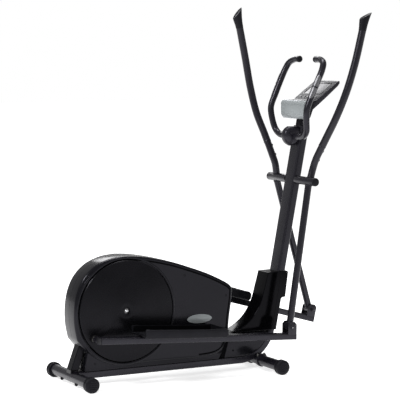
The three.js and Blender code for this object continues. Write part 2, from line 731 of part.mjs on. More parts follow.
function clampCover() {
  const outline = [[406, 1096], [401, 1060], [408, 1026], [430, 1012], [mastX(1012) - MAST_HALF_DEPTH - 0.5, 1012],
    [mastX(1096) - MAST_HALF_DEPTH - 0.5, 1096]];
  const room = bar([[448, -60, 1053], [448, 60, 1053]], BAR_R + 0.5, 16);
  return cut(prismY(outline, -28, 28, 5, 2), room);
}

function neckCover() {
  const bottom = MAST_TOP + GAP;
  const outline = [
    [mastX(bottom) - 19, bottom], [mastX(bottom) + 17, bottom], [mastX(1160) + 15, 1176], [mastX(1160) - 19, 1150],
  ];
  return prismY(outline, -26, 26, 4, 2);
}

const CONSOLE_HALF = 103;
const FACE_RISE = 86 / 118; // slope of the display face
const CONSOLE_OUTLINE = [
  [449, 1150], [461, 1132], [486, 1138], [500, 1180], [564, 1229], [634, 1286], [643, 1296],
  [636, 1307], [518, 1221], [458, 1219], [447, 1209],
];

function consoleBody() {
  const roomOutline = [
    [mastX(1100) - 20, 1095], [mastX(1100) + 19, 1095], [mastX(1160) + 17, 1180], [mastX(1160) - 20.5, 1152],
  ];
  const neckRoom = prismY(roomOutline, -27, 27);
  const screenRoom = facePlate(549, 620, -86, 86, -6, 4);
  const holes = BUTTONS.map((button) => buttonBlock(button, 0.6, -6, 12));
  return cut(prismY(CONSOLE_OUTLINE, -CONSOLE_HALF, CONSOLE_HALF, 6, 2), neckRoom, screenRoom, ...holes);
}

// A flat block lying on the display face between two x positions, from depth to height above it.
function facePlate(x0, x1, y0, y1, low, high) {
  const faceZ = (x) => 1221 + (x - 518) * FACE_RISE;
  const nx = -FACE_RISE / Math.hypot(1, FACE_RISE);
  const nz = 1 / Math.hypot(1, FACE_RISE);
  const at = (x, h) => [x + nx * h, faceZ(x) + nz * h];
  return prismY([at(x0, low), at(x1, low), at(x1, high), at(x0, high)], y0, y1);
}

// Push buttons in a row along the lower edge of the display face.
const BUTTON_HALF = 10;
const BUTTON_X = 533;
const BUTTONS = [-64, -32, 0, 32, 64];

function buttonBlock(y, clearance, low, high) {
  const reach = BUTTON_HALF + clearance;
  const depth = 4.5 + clearance;
  return facePlate(BUTTON_X - depth, BUTTON_X + depth, y - reach, y + reach, low, high);
}

// ---- assembly -----------------------------------------------------------------------------------
add("base_tube", baseTube(), SATIN_BLACK);
add("rear_stabilizer", stabilizer(REAR_X, REAR_HALF), SATIN_BLACK);
add("front_stabilizer", stabilizer(FRONT_X, FRONT_HALF), SATIN_BLACK);
add("rear_post", rearPost(), SATIN_BLACK);
add("rear_brace", rearBrace(), SATIN_BLACK);
add("crank_carrier", crankCarrier(), SATIN_BLACK);
add("flywheel_fork", flywheelFork(), SATIN_BLACK);
add("flywheel_axle", cylinderY(FLYWHEEL_X, FLYWHEEL_Z, 8, -28, 46, 16), STEEL);
add("brake_shoe", brakeShoe(), STEEL);
add("mast", mast(), SATIN_BLACK);
add("mast_shroud", mastShroud(), GLOSS_BLACK);
add("foot_cover", footCover(), HOUSING_BLACK);
add("pivot_axle", cylinderY(PIVOT_X, PIVOT_Z, PIVOT_AXLE_R, -SLEEVE_END + 1, SLEEVE_END - 1, 20), STEEL);
add("crank_axle", cylinderY(AXLE_X, AXLE_Z, AXLE_R, -63, 63, 20), STEEL);
add("crank_pulley", crankPulley(), HOUSING_BLACK);
add("drive_belt", driveBelt(), RUBBER);
add("flywheel", flywheel(), CAST_IRON);
add("flywheel_pulley", ringY(FLYWHEEL_X, FLYWHEEL_Z, 8 + GAP, DRIVE_PULLEY_R, 28, 40, 20), STEEL);
add("handlebar_cross", barCrossPiece(), SATIN_BLACK);
add("clamp_cover", clampCover(), HOUSING_BLACK);
add("neck_cover", neckCover(), HOUSING_BLACK);
add("console_body", consoleBody(), SILVER_PLASTIC);
add("console_screen", facePlate(549.6, 619.4, -85.4, 85.4, -5.6, -0.6), DARK_LENS);

for (const side of [RIGHT, LEFT]) {
  const name = sideName(side);
  add(`rear_foot_${name}`, footCap(REAR_X, REAR_HALF, side), RUBBER);
  add(`front_foot_${name}`, footCap(FRONT_X, FRONT_HALF, side), RUBBER);
  add(`crank_bearing_${name}`, bearing(side), STEEL);
  add(`housing_shell_${name}`, housingShell(side), HOUSING_BLACK);
  add(`crank_arm_${name}`, crankArm(side), SATIN_BLACK);
  add(`crank_disc_${name}`, crankDisc(side), HOUSING_BLACK);
  add(`crank_bolt_${name}`, crankBolt(side), STEEL);
  add(`swing_arm_${name}`, swingArm(side), SATIN_BLACK);
  add(`handle_${name}`, handle(side), SATIN_BLACK);
  add(`handle_cap_${name}`, handleCap(side), RUBBER);
  add(`pivot_cap_${name}`, pivotCap(side), RUBBER);
  add(`pedal_arm_${name}`, pedalArm(side), SATIN_BLACK);
  add(`lower_pin_${name}`, lowerPin(side), STEEL);
  add(`footplate_${name}`, footplate(side), RUBBER);
  add(`handlebar_lower_${name}`, bar(barSpan(side, 0, 24, 9), BAR_R, 14), SATIN_BLACK);
  add(`handlebar_upper_${name}`, bar(barSpan(side, 25, 60, 11), BAR_R, 14), SATIN_BLACK);
}

BUTTONS.forEach((y, i) => {
  add(`console_button_${i + 1}`, buttonBlock(y, 0, -3.4, 2.2), GREY_FACE);
});

export default group;
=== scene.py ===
"""Elliptical trainer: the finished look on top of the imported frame.

Blender 4.5, metres, +Z up, +X forward.
"""
import json
import math

import bmesh
import bpy
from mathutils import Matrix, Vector


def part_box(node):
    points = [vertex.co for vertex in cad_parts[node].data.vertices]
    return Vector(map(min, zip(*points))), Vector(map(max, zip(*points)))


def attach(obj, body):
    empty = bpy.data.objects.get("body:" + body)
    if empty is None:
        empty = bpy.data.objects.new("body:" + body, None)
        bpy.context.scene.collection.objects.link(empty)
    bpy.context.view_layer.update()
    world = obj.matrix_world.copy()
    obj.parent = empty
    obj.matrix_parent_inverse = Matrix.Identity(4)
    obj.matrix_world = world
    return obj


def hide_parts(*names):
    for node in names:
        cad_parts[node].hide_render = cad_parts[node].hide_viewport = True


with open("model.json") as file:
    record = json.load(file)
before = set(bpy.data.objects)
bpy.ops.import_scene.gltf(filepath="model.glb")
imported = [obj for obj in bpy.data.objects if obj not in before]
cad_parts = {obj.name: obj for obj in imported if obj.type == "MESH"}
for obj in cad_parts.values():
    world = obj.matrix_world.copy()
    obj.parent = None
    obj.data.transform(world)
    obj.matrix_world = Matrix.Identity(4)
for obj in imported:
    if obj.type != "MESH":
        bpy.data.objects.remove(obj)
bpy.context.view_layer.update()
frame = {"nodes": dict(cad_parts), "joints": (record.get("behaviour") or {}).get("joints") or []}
NODES = frame["nodes"]
JOINTS = {joint["name"]: joint for joint in frame["joints"]}

MM = 0.001
RIGHT, LEFT = -1, 1
SIDES = {RIGHT: "right", LEFT: "left"}

# ---- places taken from the frame ----
CRANK = Vector(JOINTS["crank_spin"]["pos_m"])
PIVOT = Vector(JOINTS["right_arm_swing"]["pos_m"])
LOWER_PIN = {
    RIGHT: Vector(JOINTS["right_pedal_pivot"]["pos_m"]),
    LEFT: Vector(JOINTS["left_pedal_pivot"]["pos_m"]),
}
LEAN = 0.1901  # mast lean, forward run per unit of height
MAST_LOW, MAST_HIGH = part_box("mast")
MAST_FOOT_X = (MAST_LOW.x + MAST_HIGH.x) / 2 - LEAN * (MAST_LOW.z + MAST_HIGH.z) / 2
DRAWING_SHIFT = 3.9  # from the drawing's origin to the frame's, forward, in millimetres


def lerp(a, b, t):
    return a + (b - a) * t


def srgb(*channels):
    """Eight-bit display colour to linear RGBA."""
    linear = [
        c / 255 / 12.92 if c / 255 <= 0.04045 else ((c / 255 + 0.055) / 1.055) ** 2.4
        for c in channels
    ]
    return (*linear, 1.0)


def scaled(colour, factor):
    return (*[min(1.0, c * factor) for c in colour[:3]], 1.0)


# ---- materials ----
def surface(
    name,
    colour,
    roughness,
    metallic=0.0,
    mottle=(6.0, 0.12),
    rough_spread=0.06,
    grain=(900.0, 0.05),
    wave=0.0,
    stretch=(1.0, 1.0, 1.0),
    wear=0.0,
    specular=0.25,
):
    """A moulded, painted or metal surface: colour drift, uneven gloss, fine grain and worn edges."""
    material = bpy.data.materials.new(name)
    material.use_nodes = True
    tree = material.node_tree
    shader = tree.nodes["Principled BSDF"]
    link = tree.links.new
    place = tree.nodes.new("ShaderNodeTexCoord")
    mapping = tree.nodes.new("ShaderNodeMapping")
    mapping.inputs["Scale"].default_value = stretch
    link(place.outputs["Object"], mapping.inputs["Vector"])

    def noise(scale, detail=3.0):
        node = tree.nodes.new("ShaderNodeTexNoise")
        node.inputs["Scale"].default_value = scale
        node.inputs["Detail"].default_value = detail
        link(mapping.outputs["Vector"], node.inputs["Vector"])
        return node

    def remap(source, low, high):
        node = tree.nodes.new("ShaderNodeMapRange")
        node.inputs["From Min"].default_value = 0.3
        node.inputs["From Max"].default_value = 0.7
        node.inputs["To Min"].default_value = low
        node.inputs["To Max"].default_value = high
        link(source, node.inputs["Value"])
        return node.outputs["Result"]

    def mix(factor, first, second):
        node = tree.nodes.new("ShaderNodeMix")
        node.data_type = "RGBA"
        link(factor, node.inputs["Factor"])
        for socket, value in ((node.inputs["A"], first), (node.inputs["B"], second)):
            if isinstance(value, tuple):
                socket.default_value = value
            else:
                link(value, socket)
        return node.outputs["Result"]

    broad = noise(mottle[0])
    tones = scaled(colour, 1 - mottle[1]), scaled(colour, 1 + mottle[1])
    body = mix(remap(broad.outputs["Fac"], 0.0, 1.0), *tones)
    if wear:
        geometry = tree.nodes.new("ShaderNodeNewGeometry")
        edge = tree.nodes.new("ShaderNodeMapRange")
        edge.inputs["From Min"].default_value = 0.52
        edge.inputs["From Max"].default_value = 0.62
        edge.inputs["To Max"].default_value = wear
        link(geometry.outputs["Pointiness"], edge.inputs["Value"])
        body = mix(edge.outputs["Result"], body, scaled(colour, 2.6))
    link(body, shader.inputs["Base Color"])
    middle = noise(mottle[0] * 5)
    link(
        remap(middle.outputs["Fac"], roughness - rough_spread, roughness + rough_spread),
        shader.inputs["Roughness"],
    )
    fine = noise(grain[0], 2.0)
    bump = tree.nodes.new("ShaderNodeBump")
    bump.inputs["Strength"].default_value = grain[1]
    bump.inputs["Distance"].default_value = 0.0004
    link(fine.outputs["Fac"], bump.inputs["Height"])
    if wave:
        swell = tree.nodes.new("ShaderNodeBump")
        swell.inputs["Strength"].default_value = wave
        swell.inputs["Distance"].default_value = 0.002
        link(noise(18.0, 1.0).outputs["Fac"], swell.inputs["Height"])
        link(swell.outputs["Normal"], bump.inputs["Normal"])
    link(bump.outputs["Normal"], shader.inputs["Normal"])
    shader.inputs["Metallic"].default_value = metallic
    shader.inputs["Specular IOR Level"].default_value = specular
    shader.inputs["Specular Tint"].default_value = (0.90, 0.88, 1.0, 1.0)
    return material


PAINT = surface(
    "satin_paint", srgb(21, 20, 25), 0.27, 0.0, (5.0, 0.14), 0.05, (1400.0, 0.12), 0.04, specular=0.32
)
HOUSING = surface(
    "housing_plastic", srgb(13, 13, 16), 0.18, 0.0,
    (4.0, 0.12), 0.03, (1600.0, 0.06), 0.05, wear=0.3, specular=0.18,
)
DISC = surface(
    "disc_plastic", srgb(9, 9, 11), 0.26, 0.0,
    (4.0, 0.10), 0.04, (1600.0, 0.08), 0.04, wear=0.3, specular=0.12,
)
GLOSS = surface(
    "gloss_plastic", srgb(4, 4, 5), 0.14, 0.0,
    (5.0, 0.15), 0.03, (1200.0, 0.02), 0.04, wear=0.4, specular=0.08,
)
RUBBER = surface(
    "rubber", srgb(18, 18, 21), 0.45, 0.0, (9.0, 0.2), 0.08, (1500.0, 0.35), wear=0.3, specular=0.13
)
TREAD = surface(
    "tread_rubber", srgb(5, 5, 6), 0.65, 0.0, (9.0, 0.25), 0.08, (900.0, 0.5), wear=0.3, specular=0.03
)
STEEL = surface(
    "bright_steel", srgb(205, 206, 208), 0.22, 1.0, (20.0, 0.1), 0.08, (700.0, 0.08), stretch=(1, 1, 6)
)
PULSE = surface(
    "pulse_plate", srgb(118, 118, 121), 0.42, 1.0, (20.0, 0.08), 0.06, (700.0, 0.08), stretch=(1, 1, 6)
)
ZINC = surface("dark_zinc", srgb(96, 95, 94), 0.36, 1.0, (30.0, 0.2), 0.1, (700.0, 0.1), stretch=(1, 1, 3))
IRON = surface("cast_iron", srgb(70, 70, 72), 0.55, 0.85, (25.0, 0.2), 0.1, (500.0, 0.5), wear=0.3)
SILVER = surface(
    "silver_plastic", srgb(138, 143, 144), 0.32, 0.2, (7.0, 0.05), 0.05, (2200.0, 0.10), wear=0.2
)
BEZEL = surface(
    "grey_bezel", srgb(58, 58, 60), 0.5, 0.0, (7.0, 0.07), 0.05, (1800.0, 0.04), wear=0.2, specular=0.12
)
KEYS = surface(
    "grey_keys", srgb(92, 92, 93), 0.45, 0.0, (12.0, 0.08), 0.06, (1500.0, 0.2), wear=0.2, specular=0.15
)
SCREEN = surface("lcd_window", srgb(64, 68, 66), 0.32, 0.0, (3.0, 0.05), 0.03, (300.0, 0.01), specular=0.1)
INK = surface("lcd_segments", srgb(34, 38, 36), 0.3, 0.0, (10.0, 0.1), 0.05, (600.0, 0.05))


# ---- mesh helpers ----
def mesh_object(name, vertices, faces):
    mesh = bpy.data.meshes.new(name)
    mesh.from_pydata([tuple(v) for v in vertices], [], faces)
    mesh.validate()
    made = bpy.data.objects.new(name, mesh)
    bpy.context.scene.collection.objects.link(made)
    work = bmesh.new()
    work.from_mesh(mesh)
    bmesh.ops.remove_doubles(work, verts=work.verts, dist=1e-7)
    bmesh.ops.recalc_face_normals(work, faces=work.faces)
    work.to_mesh(mesh)
    work.free()
    return made


def soften(piece, degrees=32):
    """Smooth shading, kept crisp where two faces meet at more than the angle."""
    work = bmesh.new()
    work.from_mesh(piece.data)
    limit = math.radians(degrees)
    for face in work.faces:
        face.smooth = True
    for edge in work.edges:
        edge.smooth = len(edge.link_faces) == 2 and edge.calc_face_angle(0.0) < limit
    work.to_mesh(piece.data)
    work.free()


def bake(piece):
    """Turns a piece's modifiers into its mesh."""
    graph = bpy.context.evaluated_depsgraph_get()
    mesh = bpy.data.meshes.new_from_object(piece.evaluated_get(graph))
    piece.modifiers.clear()
    old = piece.data
    piece.data = mesh
    bpy.data.meshes.remove(old)


def round_edges(piece, width, segments=3, degrees=30):
    bevel = piece.modifiers.new("round", "BEVEL")
    bevel.width = width
    bevel.segments = segments
    bevel.limit_method = "ANGLE"
    bevel.angle_limit = math.radians(degrees)
    bake(piece)


def carve(piece, *tools, operation="DIFFERENCE"):
    for tool in tools:
        step = piece.modifiers.new("carve", "BOOLEAN")
        step.operation = operation
        step.solver = "EXACT"
        step.object = tool
    bake(piece)
    for tool in tools:
        bpy.data.objects.remove(tool)


def finished(piece, body, material, *nodes, angle=32):
    """Gives a piece its shading, material and body, and hides the CAD nodes it stands for."""
    soften(piece, angle)
    piece.data.materials.clear()
    piece.data.materials.append(material)
    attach(piece, body)
    if nodes:
        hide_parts(*nodes)
    return piece


def extrude(name, outline, y0, y1):
    """A prism between two Y values from an outline of (x, z) points."""
    count = len(outline)
    vertices = [(x, y, z) for y in (y0, y1) for x, z in outline]
    faces = [(i, (i + 1) % count, count + (i + 1) % count, count + i) for i in range(count)]
    faces.append(tuple(range(count - 1, -1, -1)))
    faces.append(tuple(range(count, 2 * count)))
    return mesh_object(name, vertices, faces)


def block(name, low, high):
    (x0, y0, z0), (x1, y1, z1) = low, high
    return extrude(name, [(x0, z0), (x1, z0), (x1, z1), (x0, z1)], y0, y1)


def skin(rings, count):
    """Faces that join rings of count points each, one ring after the other."""
    faces = []
    for ring in range(rings - 1):
        for k in range(count):
            a, b = ring * count + k, ring * count + (k + 1) % count
            faces.append((a, b, b + count, a + count))
    return faces


def ends(rings, count):
    """The two end faces of such a skin."""
    last = (rings - 1) * count
    return [tuple(range(count - 1, -1, -1)), tuple(range(last, last + count))]


def turned(name, centre, axis, profile, segments=48):
    """A turned piece: profile is a list of (radius, height) along the axis from the centre."""
    axis = Vector(axis).normalized()
    spin = axis.to_track_quat("Z", "Y")
    vertices = []
    for radius, height in profile:
        for k in range(segments):
            turn = 2 * math.pi * k / segments
            point = Vector((radius * math.cos(turn), radius * math.sin(turn), height))
            vertices.append(Vector(centre) + spin @ point)
    faces = skin(len(profile), segments)
    if profile[0] != profile[-1]:
        faces += ends(len(profile), segments)
    return mesh_object(name, vertices, faces)


def lathe(name, centre, axis, profile, segments=48):
    """A turned piece whose profile is in millimetres."""
    return turned(name, centre, axis, [(r * MM, h * MM) for r, h in profile], segments)


def sweep(name, path, section, side=(0, 1, 0), growth=None):
    """Carries a section, a list of (side, up) offsets, along a path without twisting it."""
    path = [Vector(p) for p in path]
    side = Vector(side)
    vertices = []
    for i, centre in enumerate(path):
        tangent = (path[min(i + 1, len(path) - 1)] - path[max(i - 1, 0)]).normalized()
        side = (side - tangent * side.dot(tangent)).normalized()
        up = tangent.cross(side)
        size = growth[i] if growth else 1.0
        vertices += [centre + (side * a + up * b) * size for a, b in section]
    faces = skin(len(path), len(section)) + ends(len(path), len(section))
    return mesh_object(name, vertices, faces)


def circle(radius, count=32):
    return [
        (radius * math.cos(2 * math.pi * k / count), radius * math.sin(2 * math.pi * k / count))
        for k in range(count)
    ]


def rounded_rectangle(width, height, radius, steps=6):
    points = []
    for cx, cy, start in ((1, 1, 0), (-1, 1, 90), (-1, -1, 180), (1, -1, 270)):
        for k in range(steps + 1):
            turn = math.radians(start + 90 * k / steps)
            points.append(
                (
                    cx * (width / 2 - radius) + radius * math.cos(turn),
                    cy * (height / 2 - radius) + radius * math.sin(turn),
                )
            )
    return points


def spline(points, count):
    """Evenly spaced points on a smooth curve through the points given."""
    points = [Vector(p) for p in points]
    ends = [2 * points[0] - points[1], *points, 2 * points[-1] - points[-2]]
    dense = []
    for i in range(1, len(ends) - 2):
        a, b, c, d = ends[i - 1 : i + 3]
        gaps = [max((q - p).length ** 0.5, 1e-6) for p, q in ((a, b), (b, c), (c, d))]
        t0, t1 = 0.0, gaps[0]
        t2, t3 = t1 + gaps[1], t1 + gaps[1] + gaps[2]
        for k in range(24):
            t = lerp(t1, t2, k / 24)
            a1 = a * ((t1 - t) / (t1 - t0)) + b * ((t - t0) / (t1 - t0))
            a2 = b * ((t2 - t) / (t2 - t1)) + c * ((t - t1) / (t2 - t1))
            a3 = c * ((t3 - t) / (t3 - t2)) + d * ((t - t2) / (t3 - t2))
            b1 = a1 * ((t2 - t) / (t2 - t0)) + a2 * ((t - t0) / (t2 - t0))
            b2 = a2 * ((t3 - t) / (t3 - t1)) + a3 * ((t - t1) / (t3 - t1))
            dense.append(b1 * ((t2 - t) / (t2 - t1)) + b2 * ((t - t1) / (t2 - t1)))
    dense.append(points[-1])
    lengths = [0.0]
    for p, q in zip(dense, dense[1:]):
        lengths.append(lengths[-1] + (q - p).length)
    result, j = [], 0
    for i in range(count):
        target = lengths[-1] * i / (count - 1)
        while j < len(lengths) - 2 and lengths[j + 1] < target:
            j += 1
        share = (target - lengths[j]) / max(lengths[j + 1] - lengths[j], 1e-9)
        result.append(dense[j].lerp(dense[j + 1], share))
    return result


def bolt(name, centre, axis, body, head=6.5, height=4.0, washer=True, material=ZINC):
    """Button-head bolt with a hex socket, on a washer."""
    r, h = head * MM, height * MM
    profile = [(r * 1.35, 0), (r * 1.35, 0.9 * MM)] if washer else []
    profile += [(r, profile[-1][1] if profile else 0), (r, h * 0.45), (r * 0.86, h * 0.8), (r * 0.55, h)]
    profile += [(r * 0.42, h), (r * 0.40, h * 0.4)]
    return finished(turned(name, centre, axis, profile, 24), body, material, angle=25)


# ---- stabilizers and base ----
STABILIZER_R = 24.5 * MM
FOOT_R = 33.5 * MM
FOOT_SET_OUT = 11 * MM  # the cap's sleeve starts this far out from the CAD plug


def stabilizer(name):
    low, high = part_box(name)
    centre = (low + high) / 2
    start = Vector((centre.x, low.y - FOOT_SET_OUT, centre.z))
    profile = [(STABILIZER_R, 0), (STABILIZER_R, high.y - low.y + 2 * FOOT_SET_OUT)]
    finished(turned(f"{name}_tube", start, (0, 1, 0), profile, 56), "frame", PAINT, name)
    return centre


def end_foot(node, side):
    """Rubber foot: a collar, a ribbed barrel and a flat end with raised bars; the floor pad is flat."""
    low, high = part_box(node)
    x = (low.x + high.x) / 2
    inner, outer = (low.y, high.y) if side == LEFT else (high.y, low.y)
    inner += side * FOOT_SET_OUT
    z = FOOT_R - 0.5 * MM
    length = abs(outer - inner)
    steps = [(0.0, -2.5), (0.05, -1.0), (0.10, 0.0)]
    for k in range(5):
        at = 0.16 + 0.11 * k
        steps += [(at, 0.0), (at + 0.018, -1.2), (at + 0.045, -1.2), (at + 0.063, 0.0)]
    steps += [(0.80, 0.0), (0.88, -1.6), (0.94, -4.2), (0.98, -7.5), (1.0, -11.0)]
    profile = [(FOOT_R + drop * MM, length * at) for at, drop in steps]
    cap = turned(f"{node}_cap", (x, inner, z), (0, side, 0), profile, 56)
    floor = block("floor_cut", (x - 0.1, -0.5, -0.1), (x + 0.1, 0.5, 0.0))
    carve(cap, floor)
    finished(cap, "frame", RUBBER, node, angle=24)
    for k in range(-2, 3):
        rise = k * 8.5 * MM
        reach = math.sqrt((FOOT_R - 12.5 * MM) ** 2 - rise**2)
        y0, y1 = sorted((outer - side * 1.0 * MM, outer + side * 2.6 * MM))
        low, high = (x - reach, y0, z + rise - 2.2 * MM), (x + reach, y1, z + rise + 2.2 * MM)
        rib = block(f"{node}_bar_{k + 3}", low, high)
        round_edges(rib, 0.7 * MM, 2)
        finished(rib, "frame", RUBBER)


rear_centre = stabilizer("rear_stabilizer")
front_centre = stabilizer("front_stabilizer")
for side, word in SIDES.items():
    end_foot(f"rear_foot_{word}", side)
    end_foot(f"front_foot_{word}", side)

BASE_LOW, BASE_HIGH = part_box("base_tube")
BASE_WIDTH, BASE_DEPTH = 74 * MM, 34 * MM
BEND_R = 165 * MM
BEND_START_X = 166.9 * MM
BASE_MID_Z = 43 * MM


def base_path():
    turn_total = math.pi / 2 - math.atan(LEAN)
    path = [Vector((lerp(BASE_LOW.x, BEND_START_X, k / 12), 0, BASE_MID_Z)) for k in range(12)]
    for k in range(33):
        turn = turn_total * k / 32
        path.append(
            Vector((BEND_START_X + BEND_R * math.sin(turn), 0, BASE_MID_Z + BEND_R * (1 - math.cos(turn))))
        )
    return path


def saddle_cut(centre):
    radius, half = STABILIZER_R + 0.2 * MM, 0.08
    return turned("saddle", (centre.x, -half, centre.z), (0, 1, 0), [(radius, 0), (radius, 2 * half)], 56)


spine = sweep("base_spine", base_path(), rounded_rectangle(BASE_WIDTH, BASE_DEPTH, 7 * MM))
carve(spine, saddle_cut(rear_centre), saddle_cut(front_centre))
finished(spine, "frame", PAINT, "base_tube")


def weld_ring(name, centre, axis, radius, body, thickness=2.2 * MM):
    """Weld bead: a ring of overlapping ripples."""
    axis = Vector(axis).normalized()
    side = axis.orthogonal().normalized()
    up = axis.cross(side)
    ripples = 44
    path, sizes = [], []
    for k in range(ripples * 4 + 1):
        turn = 2 * math.pi * k / (ripples * 4)
        path.append(Vector(centre) + (side * math.cos(turn) + up * math.sin(turn)) * radius)
        sizes.append(1.0 + 0.16 * math.sin(turn * ripples))
    return finished(sweep(name, path, circle(thickness, 8), side=axis, growth=sizes), body, PAINT, angle=60)


def outward(degrees):
    """Direction square to a stabilizer, at an angle from forward towards up."""
    return Vector((math.cos(math.radians(degrees)), 0, math.sin(math.radians(degrees))))


def saddle_bracket(centre, tag):
    """Two curved straps that clamp a stabilizer under the base tube, each with a carriage bolt."""
    over = STABILIZER_R + 1.5 * MM
    for side, word in SIDES.items():
        middle = Vector((centre.x, side * 50 * MM, centre.z))
        place = middle + outward(52) * (STABILIZER_R + 1.8 * MM)
        bolt(f"{tag}_bolt_{word}", place, outward(52), "frame", 8, 7)
    for side, word in SIDES.items():
        middle = Vector((centre.x, side * 51 * MM, centre.z))
        arc = [middle + outward(lerp(8, 96, k / 12)) * over for k in range(13)]
        plate = sweep(f"{tag}_strap_{word}", arc, rounded_rectangle(24 * MM, 2.6 * MM, 1.0 * MM, 2))
        finished(plate, "frame", PAINT)


saddle_bracket(front_centre, "front_clamp")
for side, word in SIDES.items():
    start = Vector((front_centre.x, side * 38 * MM, front_centre.z))
    profile = [(24.2, 0), (28.5, 0), (29.5, 1), (29.5, 19), (28.5, 20), (24.2, 20), (24.2, 0)]
    ring = lathe(f"front_clamp_ring_{word}", start, (0, side, 0), profile, 48)
    finished(ring, "frame", PAINT, angle=40)
    for tag, angle in (("rear", 128), ("front", 62)):
        place = start + Vector((0, side * 10 * MM, 0)) + outward(angle) * 29 * MM
        bolt(f"front_clamp_nut_{tag}_{word}", place, outward(angle), "frame", 6, 8)

for side, word in SIDES.items():
    under = Vector((rear_centre.x, side * 77 * MM, rear_centre.z))
    out = Vector((-0.62, 0, -0.78)).normalized()
    place = under + out * (STABILIZER_R - 0.4 * MM)
    bolt(f"rear_dome_nut_{word}", place, out, "frame", 7, 8, material=RUBBER)

# ---- rear post, mast and its covers ----


def mast_point(z):
    return Vector((MAST_FOOT_X + LEAN * z, 0, z))


mast_tube = sweep(
    "mast_tube",
    [mast_point(lerp(MAST_LOW.z + 1 * MM, MAST_HIGH.z - 1 * MM, k / 20)) for k in range(21)],
    rounded_rectangle(80 * MM, 40 * MM, 9 * MM),
)
finished(mast_tube, "frame", PAINT, "mast")


def at_x(x):
    """Place along the frame, in metres, of a distance on the drawing in millimetres."""
    return (x + DRAWING_SHIFT) * MM


def xz(outline):
    """Outline in millimetres of the drawing, in the frame's metres."""
    return [(at_x(x), z * MM) for x, z in outline]


def curved_outline(curve, straight, count):
    smooth = spline([(x, 0, z) for x, z in curve], count)
    return [(p.x, p.z) for p in smooth] + list(straight)


def shroud():
    rear = [
        (299, 437), (294, 418), (281, 372), (261, 304), (242, 268), (214, 231), (177, 201), (146, 183),
        (127, 172),
    ]
    front = [(342, 171), (348, 205), (368, 312), (374, 317), (390, 319), (405, 432), (401, 439)]
    piece = extrude("shroud_body", xz(curved_outline(rear, front, 34)), -48 * MM, 48 * MM)
    round_edges(piece, 17 * MM, 7, 50)
    room = sweep("room", [mast_point(0.30), mast_point(0.50)], rounded_rectangle(82 * MM, 42 * MM, 9 * MM))
    carve(piece, room)
    finished(piece, "frame", GLOSS, "mast_shroud")
    for side, word in SIDES.items():
        beside = Vector((-4 * MM, side * 48.1 * MM, 0))
        seam = [mast_point(lerp(0.192, 0.425, k / 12)) + beside for k in range(13)]
        line = sweep(f"shroud_seam_{word}", seam, rounded_rectangle(1.2 * MM, 2.4 * MM, 0.5 * MM, 2))
        finished(line, "frame", GLOSS)


shroud()


def foot_cover():
    arc = []
    for k in range(13):
        turn = (math.pi / 2 - math.atan(LEAN)) * 0.8 * k / 12
        radius = 165 - 17 - 1
        arc.append((163 + radius * math.sin(turn), 43 + 165 - radius * math.cos(turn)))
    outline = [(72, 61), *arc, (292, 168), (98, 168), (88, 130)]
    piece = extrude("foot_cover_body", xz(outline), -46 * MM, 46 * MM)
    round_edges(piece, 6 * MM, 4, 40)
    finished(piece, "frame", HOUSING, "foot_cover")
    lip = extrude("foot_cover_lip", xz([(52, 62), (100, 62), (100, 150), (84, 150)]), -42 * MM, 42 * MM)
    finished(lip, "frame", TREAD)
    for side, word in SIDES.items():
        place = (120 * MM, side * 45.8 * MM, 92 * MM)
        bolt(f"foot_cover_screw_{word}", place, (0, side, 0), "frame", 4, 2, False, TREAD)


foot_cover()

post = NODES["rear_post"]
soften(post)
post.data.materials.clear()
post.data.materials.append(DISC)

# ---- drive housing ----
SHELL_TOP = [
    (-656, 200), (-668, 262), (-670, 330), (-657, 408), (-624, 474), (-570, 522), (-500, 549), (-440, 556),
    (-372, 553), (-307, 543), (-197, 517), (-109, 488), (-18, 454), (54, 420), (90, 399), (104, 384),
]
SHELL_BOTTOM = [
    (107, 372), (104, 330), (92, 250), (85, 180), (76, 138), (58, 106), (30, 88), (-22, 78),
    (-240, 78), (-330, 78), (-426, 76), (-500, 84), (-560, 108), (-612, 146),
]
SHELL_HALF = 62 * MM
SKIRT_HALF = 54 * MM
RECESS_R = 229  # in millimetres, as profiles are


def inset(outline, distance):
    """Moves a clockwise outline's points inwards."""
    moved = []
    count = len(outline)
    for i, (x, z) in enumerate(outline):
        px, pz = outline[i - 1]
        nx, nz = outline[(i + 1) % count]
        along = Vector((nx - px, nz - pz)).normalized()
        moved.append((x + along.y * distance, z - along.x * distance))
    return moved


